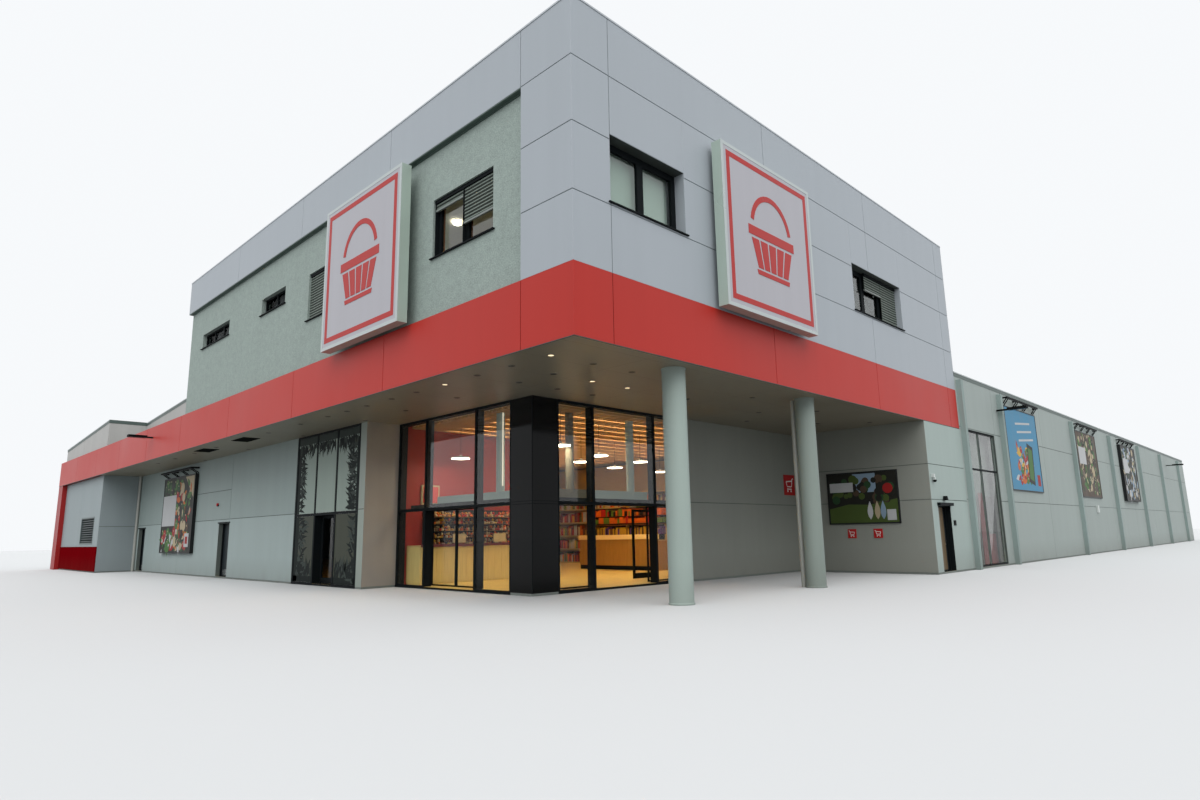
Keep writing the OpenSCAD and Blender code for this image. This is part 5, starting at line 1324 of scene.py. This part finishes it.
# One post and the beam over the inner posts get a darker, browner copy of the post paint: painted shade.
post_painted_shade = finish("lobby post paint in painted shade", (128, 121, 102), 0.6, clouds=0.1, grain=0.03, shine=0.1)
tube_light = glowing("light tube", (1.0, 0.90, 0.70, 1.0), 0.7)
bm = bmesh.new()
for u, v, look in ((3.665, 1.98, 0), (3.0, 2.71, 1), (3.0, 4.0, 0)):
    turned(bm, place(u, v, 0.0), [(0.062, 1.34), (0.062, 2.548)], look, 32)
rod(bm, place(3.56, 1.94, 1.45), place(3.56, 1.94, 2.5), 0.009, 2)
for z in (1.46, 2.49):
    rod(bm, place(3.56, 1.94, z), place(3.64, 1.97, z), 0.006, 0)
block(bm, (3.05, 5.2), (1.93, 2.03), (1.245, 1.372))
block(bm, (2.95, 3.05), (3.06, 4.33), (1.25, 1.392))
block(bm, (2.95, 3.05), (1.93, 3.06), (1.25, 1.392), 1)
piece = set_piece("draught_lobby_beams", bm, post_green, post_painted_shade, tube_light, round_off=True)
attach(piece, "building")

# Goods and shelves
# Packets and tins in rows on oak boards, loaves and rolls on trays of the front counter, and
# plain price cards, all made as simple coloured blocks and domes.
dress("goods_shelves", oak_top)
goods_paint = {"red": (170, 34, 26), "orange": (206, 96, 22), "yellow": (196, 150, 40),
               "cream": (186, 168, 124), "green": (90, 116, 40), "brown": (104, 66, 34),
               "white": (176, 170, 156), "wine": (96, 22, 26), "black": (26, 24, 22),
               "coral": (206, 60, 48), "purple": (92, 62, 120)}
GOODS = list(goods_paint)
goods_looks = [finish("goods " + name, card, 0.4, clouds=0.4, cloud_size=20.0, grain=0.3, coat=0.2)
               for name, card in goods_paint.items()]
dice = random.Random(5)
bm = bmesh.new()


def fill_board(u, v, z, tall, inks="red orange yellow cream green brown white wine", wide=(0.03, 0.085)):
    """Packets, tins and loaves side by side in two rows along a board, in mixed colours."""
    looks = [GOODS.index(name) for name in inks.split()]
    half = (v[1] - v[0]) / 2
    spot = u[0]
    while spot < u[1] - 0.02:
        high = dice.uniform(0.6, 1.0) * tall
        look = dice.choice(looks)
        end = min(spot + dice.uniform(*wide), u[1])
        for near in (v[0], v[0] + half):
            block(bm, (spot, end - 0.004), (near + 0.02, near + half - 0.02), (z, z + high), look)
        spot = end


def bun(u, v, z, radius, high, look):
    """A round loaf or a filled roll, flat below and domed above."""
    profile = [(0.7 * radius, 0.0), (radius, 0.35 * high), (0.8 * radius, 0.8 * high), (0.3 * radius, high)]
    turned(bm, place(u, v, z), profile, look, 10)


def card_block(u, v, z, name):
    """A plain board or sheet in one of the goods' colours."""
    block(bm, u, v, z, GOODS.index(name))


BREAD = "orange yellow brown cream red black yellow orange brown cream cream brown".split()
TRAY, TRAY_Z, SHELF = 0.112, 0.628, 0.34
card_block((5.815, 5.838), (2.06, 3.8), (0.626, 1.2), "black")
for k in range(5):
    for i in range(42):
        for u, z in ((5.55, 0.0), (5.63, 0.0), (5.59, 0.045), (5.7, 0.02)):
            if dice.random() < 0.85:
                bun(u + dice.uniform(-0.015, 0.015), 2.1 + 0.04 * i + dice.uniform(-0.01, 0.01),
                    TRAY_Z + TRAY * k + z, dice.uniform(0.014, 0.028), dice.uniform(0.026, 0.055),
                    GOODS.index(dice.choice(BREAD)))
card_block((5.4, 5.412), (1.785, 3.82), (0.6, 0.645), "wine")
for v in (2.38, 3.2):
    card_block((5.425, 5.437), (v, v + 0.25), (0.66, 0.8), "cream")
card_block((4.78, 6.98), (7.06, 7.08), (0.626, 1.3), "black")
for board in (((6.8, 7.0), 0.735, 0.17, "yellow yellow black purple black yellow brown", (0.02, 0.05)),
              ((6.85, 7.05), 0.97, 0.14, "orange orange green orange red orange", (0.06, 0.2)),
              ((6.85, 7.05), 1.12, 0.16, "orange black green orange red orange brown", (0.03, 0.1)),
              ((7.92, 8.28), 1.18, 0.22)):
    fill_board((4.8, 6.95), *board)
for k in range(5):
    fill_board((2.7, 12.0), (9.0, 9.3), 0.06 + SHELF * k, 0.26)
card_block((5.81, 5.838), (2.02, 2.36), (1.28, 1.6), "cream")
card_block((5.802, 5.812), (2.05, 2.33), (1.31, 1.57), "coral")
piece = set_piece("goods", bm, *goods_looks)
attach(piece, "building")
bm = bmesh.new()
for k in range(6):
    block(bm, (2.66, 12.04), (8.98, 9.34), (0.03 + SHELF * k, 0.06 + SHELF * k))
block(bm, (2.66, 12.04), (9.34, 9.37), (0.03, 2.5))
block(bm, (4.8, 6.95), (6.8, 7.08), (0.925, 0.945), 1)
for u in (4.8, 5.85, 6.92):
    block(bm, (u, u + 0.03), (6.98, 7.08), (0.626, 0.95))
for k in range(4):
    block(bm, (5.5, 5.815), (2.06, 3.8), (0.7385 + TRAY * k, 0.7395 + TRAY * k))
piece = set_piece("shop_shelving", bm, oak_top, goods_looks[GOODS.index("brown")])
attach(piece, "building")

# Floor, light and camera
# The model stands on a plain pale floor in front of a pale sky, in soft even light from
# above, and the camera stands low, in front of the corner between the two glazed sides.
floor = bpy.data.meshes.new("floor")
FLOOR, FLOOR_Z = 120, -0.002
floor.from_pydata([(x * FLOOR, y * FLOOR, FLOOR_Z) for x, y in ((-1, -1), (1, -1), (1, 1), (-1, 1))],
                  [], [(0, 1, 2, 3)])
ground = bpy.data.objects.new("floor", floor)
bpy.context.scene.collection.objects.link(ground)


def looked_at(tree):
    """1 where a surface is seen itself, in a mirror or through glass, and 0 where it only sends light."""
    path = put(tree, "LightPath").outputs
    seen = maths(tree, "MAXIMUM", path["Is Camera Ray"], path["Is Glossy Ray"])
    return maths(tree, "MAXIMUM", seen, path["Is Transmission Ray"])


pale, tree, skin = blank("pale floor")
noise = put(tree, "TexNoise", {"Scale": 0.6}).outputs[0]
light_tone = blend(tree, noise, (0.52, 0.53, 0.54, 1), (0.57, 0.58, 0.59, 1))
shown = blend(tree, looked_at(tree), (0.19, 0.19, 0.19, 1), light_tone)
tree.links.new(shown, skin.inputs["Base Color"])
skin.inputs["Roughness"].default_value = 0.9
floor.materials.append(pale)
world = bpy.data.worlds.new("pale sky")
bpy.context.scene.world = world
world.use_nodes = True
tree = world.node_tree
sky = tree.nodes["Background"]
sky_tone = blend(tree, looked_at(tree), (0.95, 0.98, 1.0, 1), (0.93, 0.95, 0.97, 1))
tree.links.new(sky_tone, sky.inputs["Color"])
sky.inputs["Strength"].default_value = 1.0
sun = bpy.data.lights.new("soft light", "SUN")
sun.energy, sun.angle, sun.color = 2.2, math.radians(70), (1.0, 0.98, 0.95)
lamp = bpy.data.objects.new("soft light", sun)
lamp.matrix_world = Vector((0.42, -0.42, 0.80)).to_track_quat("Z", "Y").to_matrix().to_4x4()
bpy.context.scene.collection.objects.link(lamp)
YAW, PITCH, ROLL = math.radians(44.644), math.radians(10.436), math.radians(-1.0597)
ahead = Vector((-math.sin(YAW) * math.cos(PITCH), math.cos(YAW) * math.cos(PITCH), math.sin(PITCH)))
across = Vector((math.cos(YAW), math.sin(YAW), 0.0))
upward = across.cross(ahead)
across, upward = (math.cos(ROLL) * across + math.sin(ROLL) * upward,
                  math.cos(ROLL) * upward - math.sin(ROLL) * across)
camera = bpy.data.cameras.new("camera")
camera.lens, camera.sensor_width, camera.sensor_fit, camera.clip_end = 21.96, 36.0, "HORIZONTAL", 400.0
eye = bpy.data.objects.new("camera", camera)
turn = Matrix((across, upward, -ahead)).transposed().to_4x4()
eye.matrix_world = Matrix.Translation((16.453, -23.6358, 0.7417)) @ turn
bpy.context.scene.collection.objects.link(eye)
bpy.context.scene.camera = eye
view = bpy.context.scene.view_settings
view.view_transform = "Standard"
bpy.context.view_layer.update()
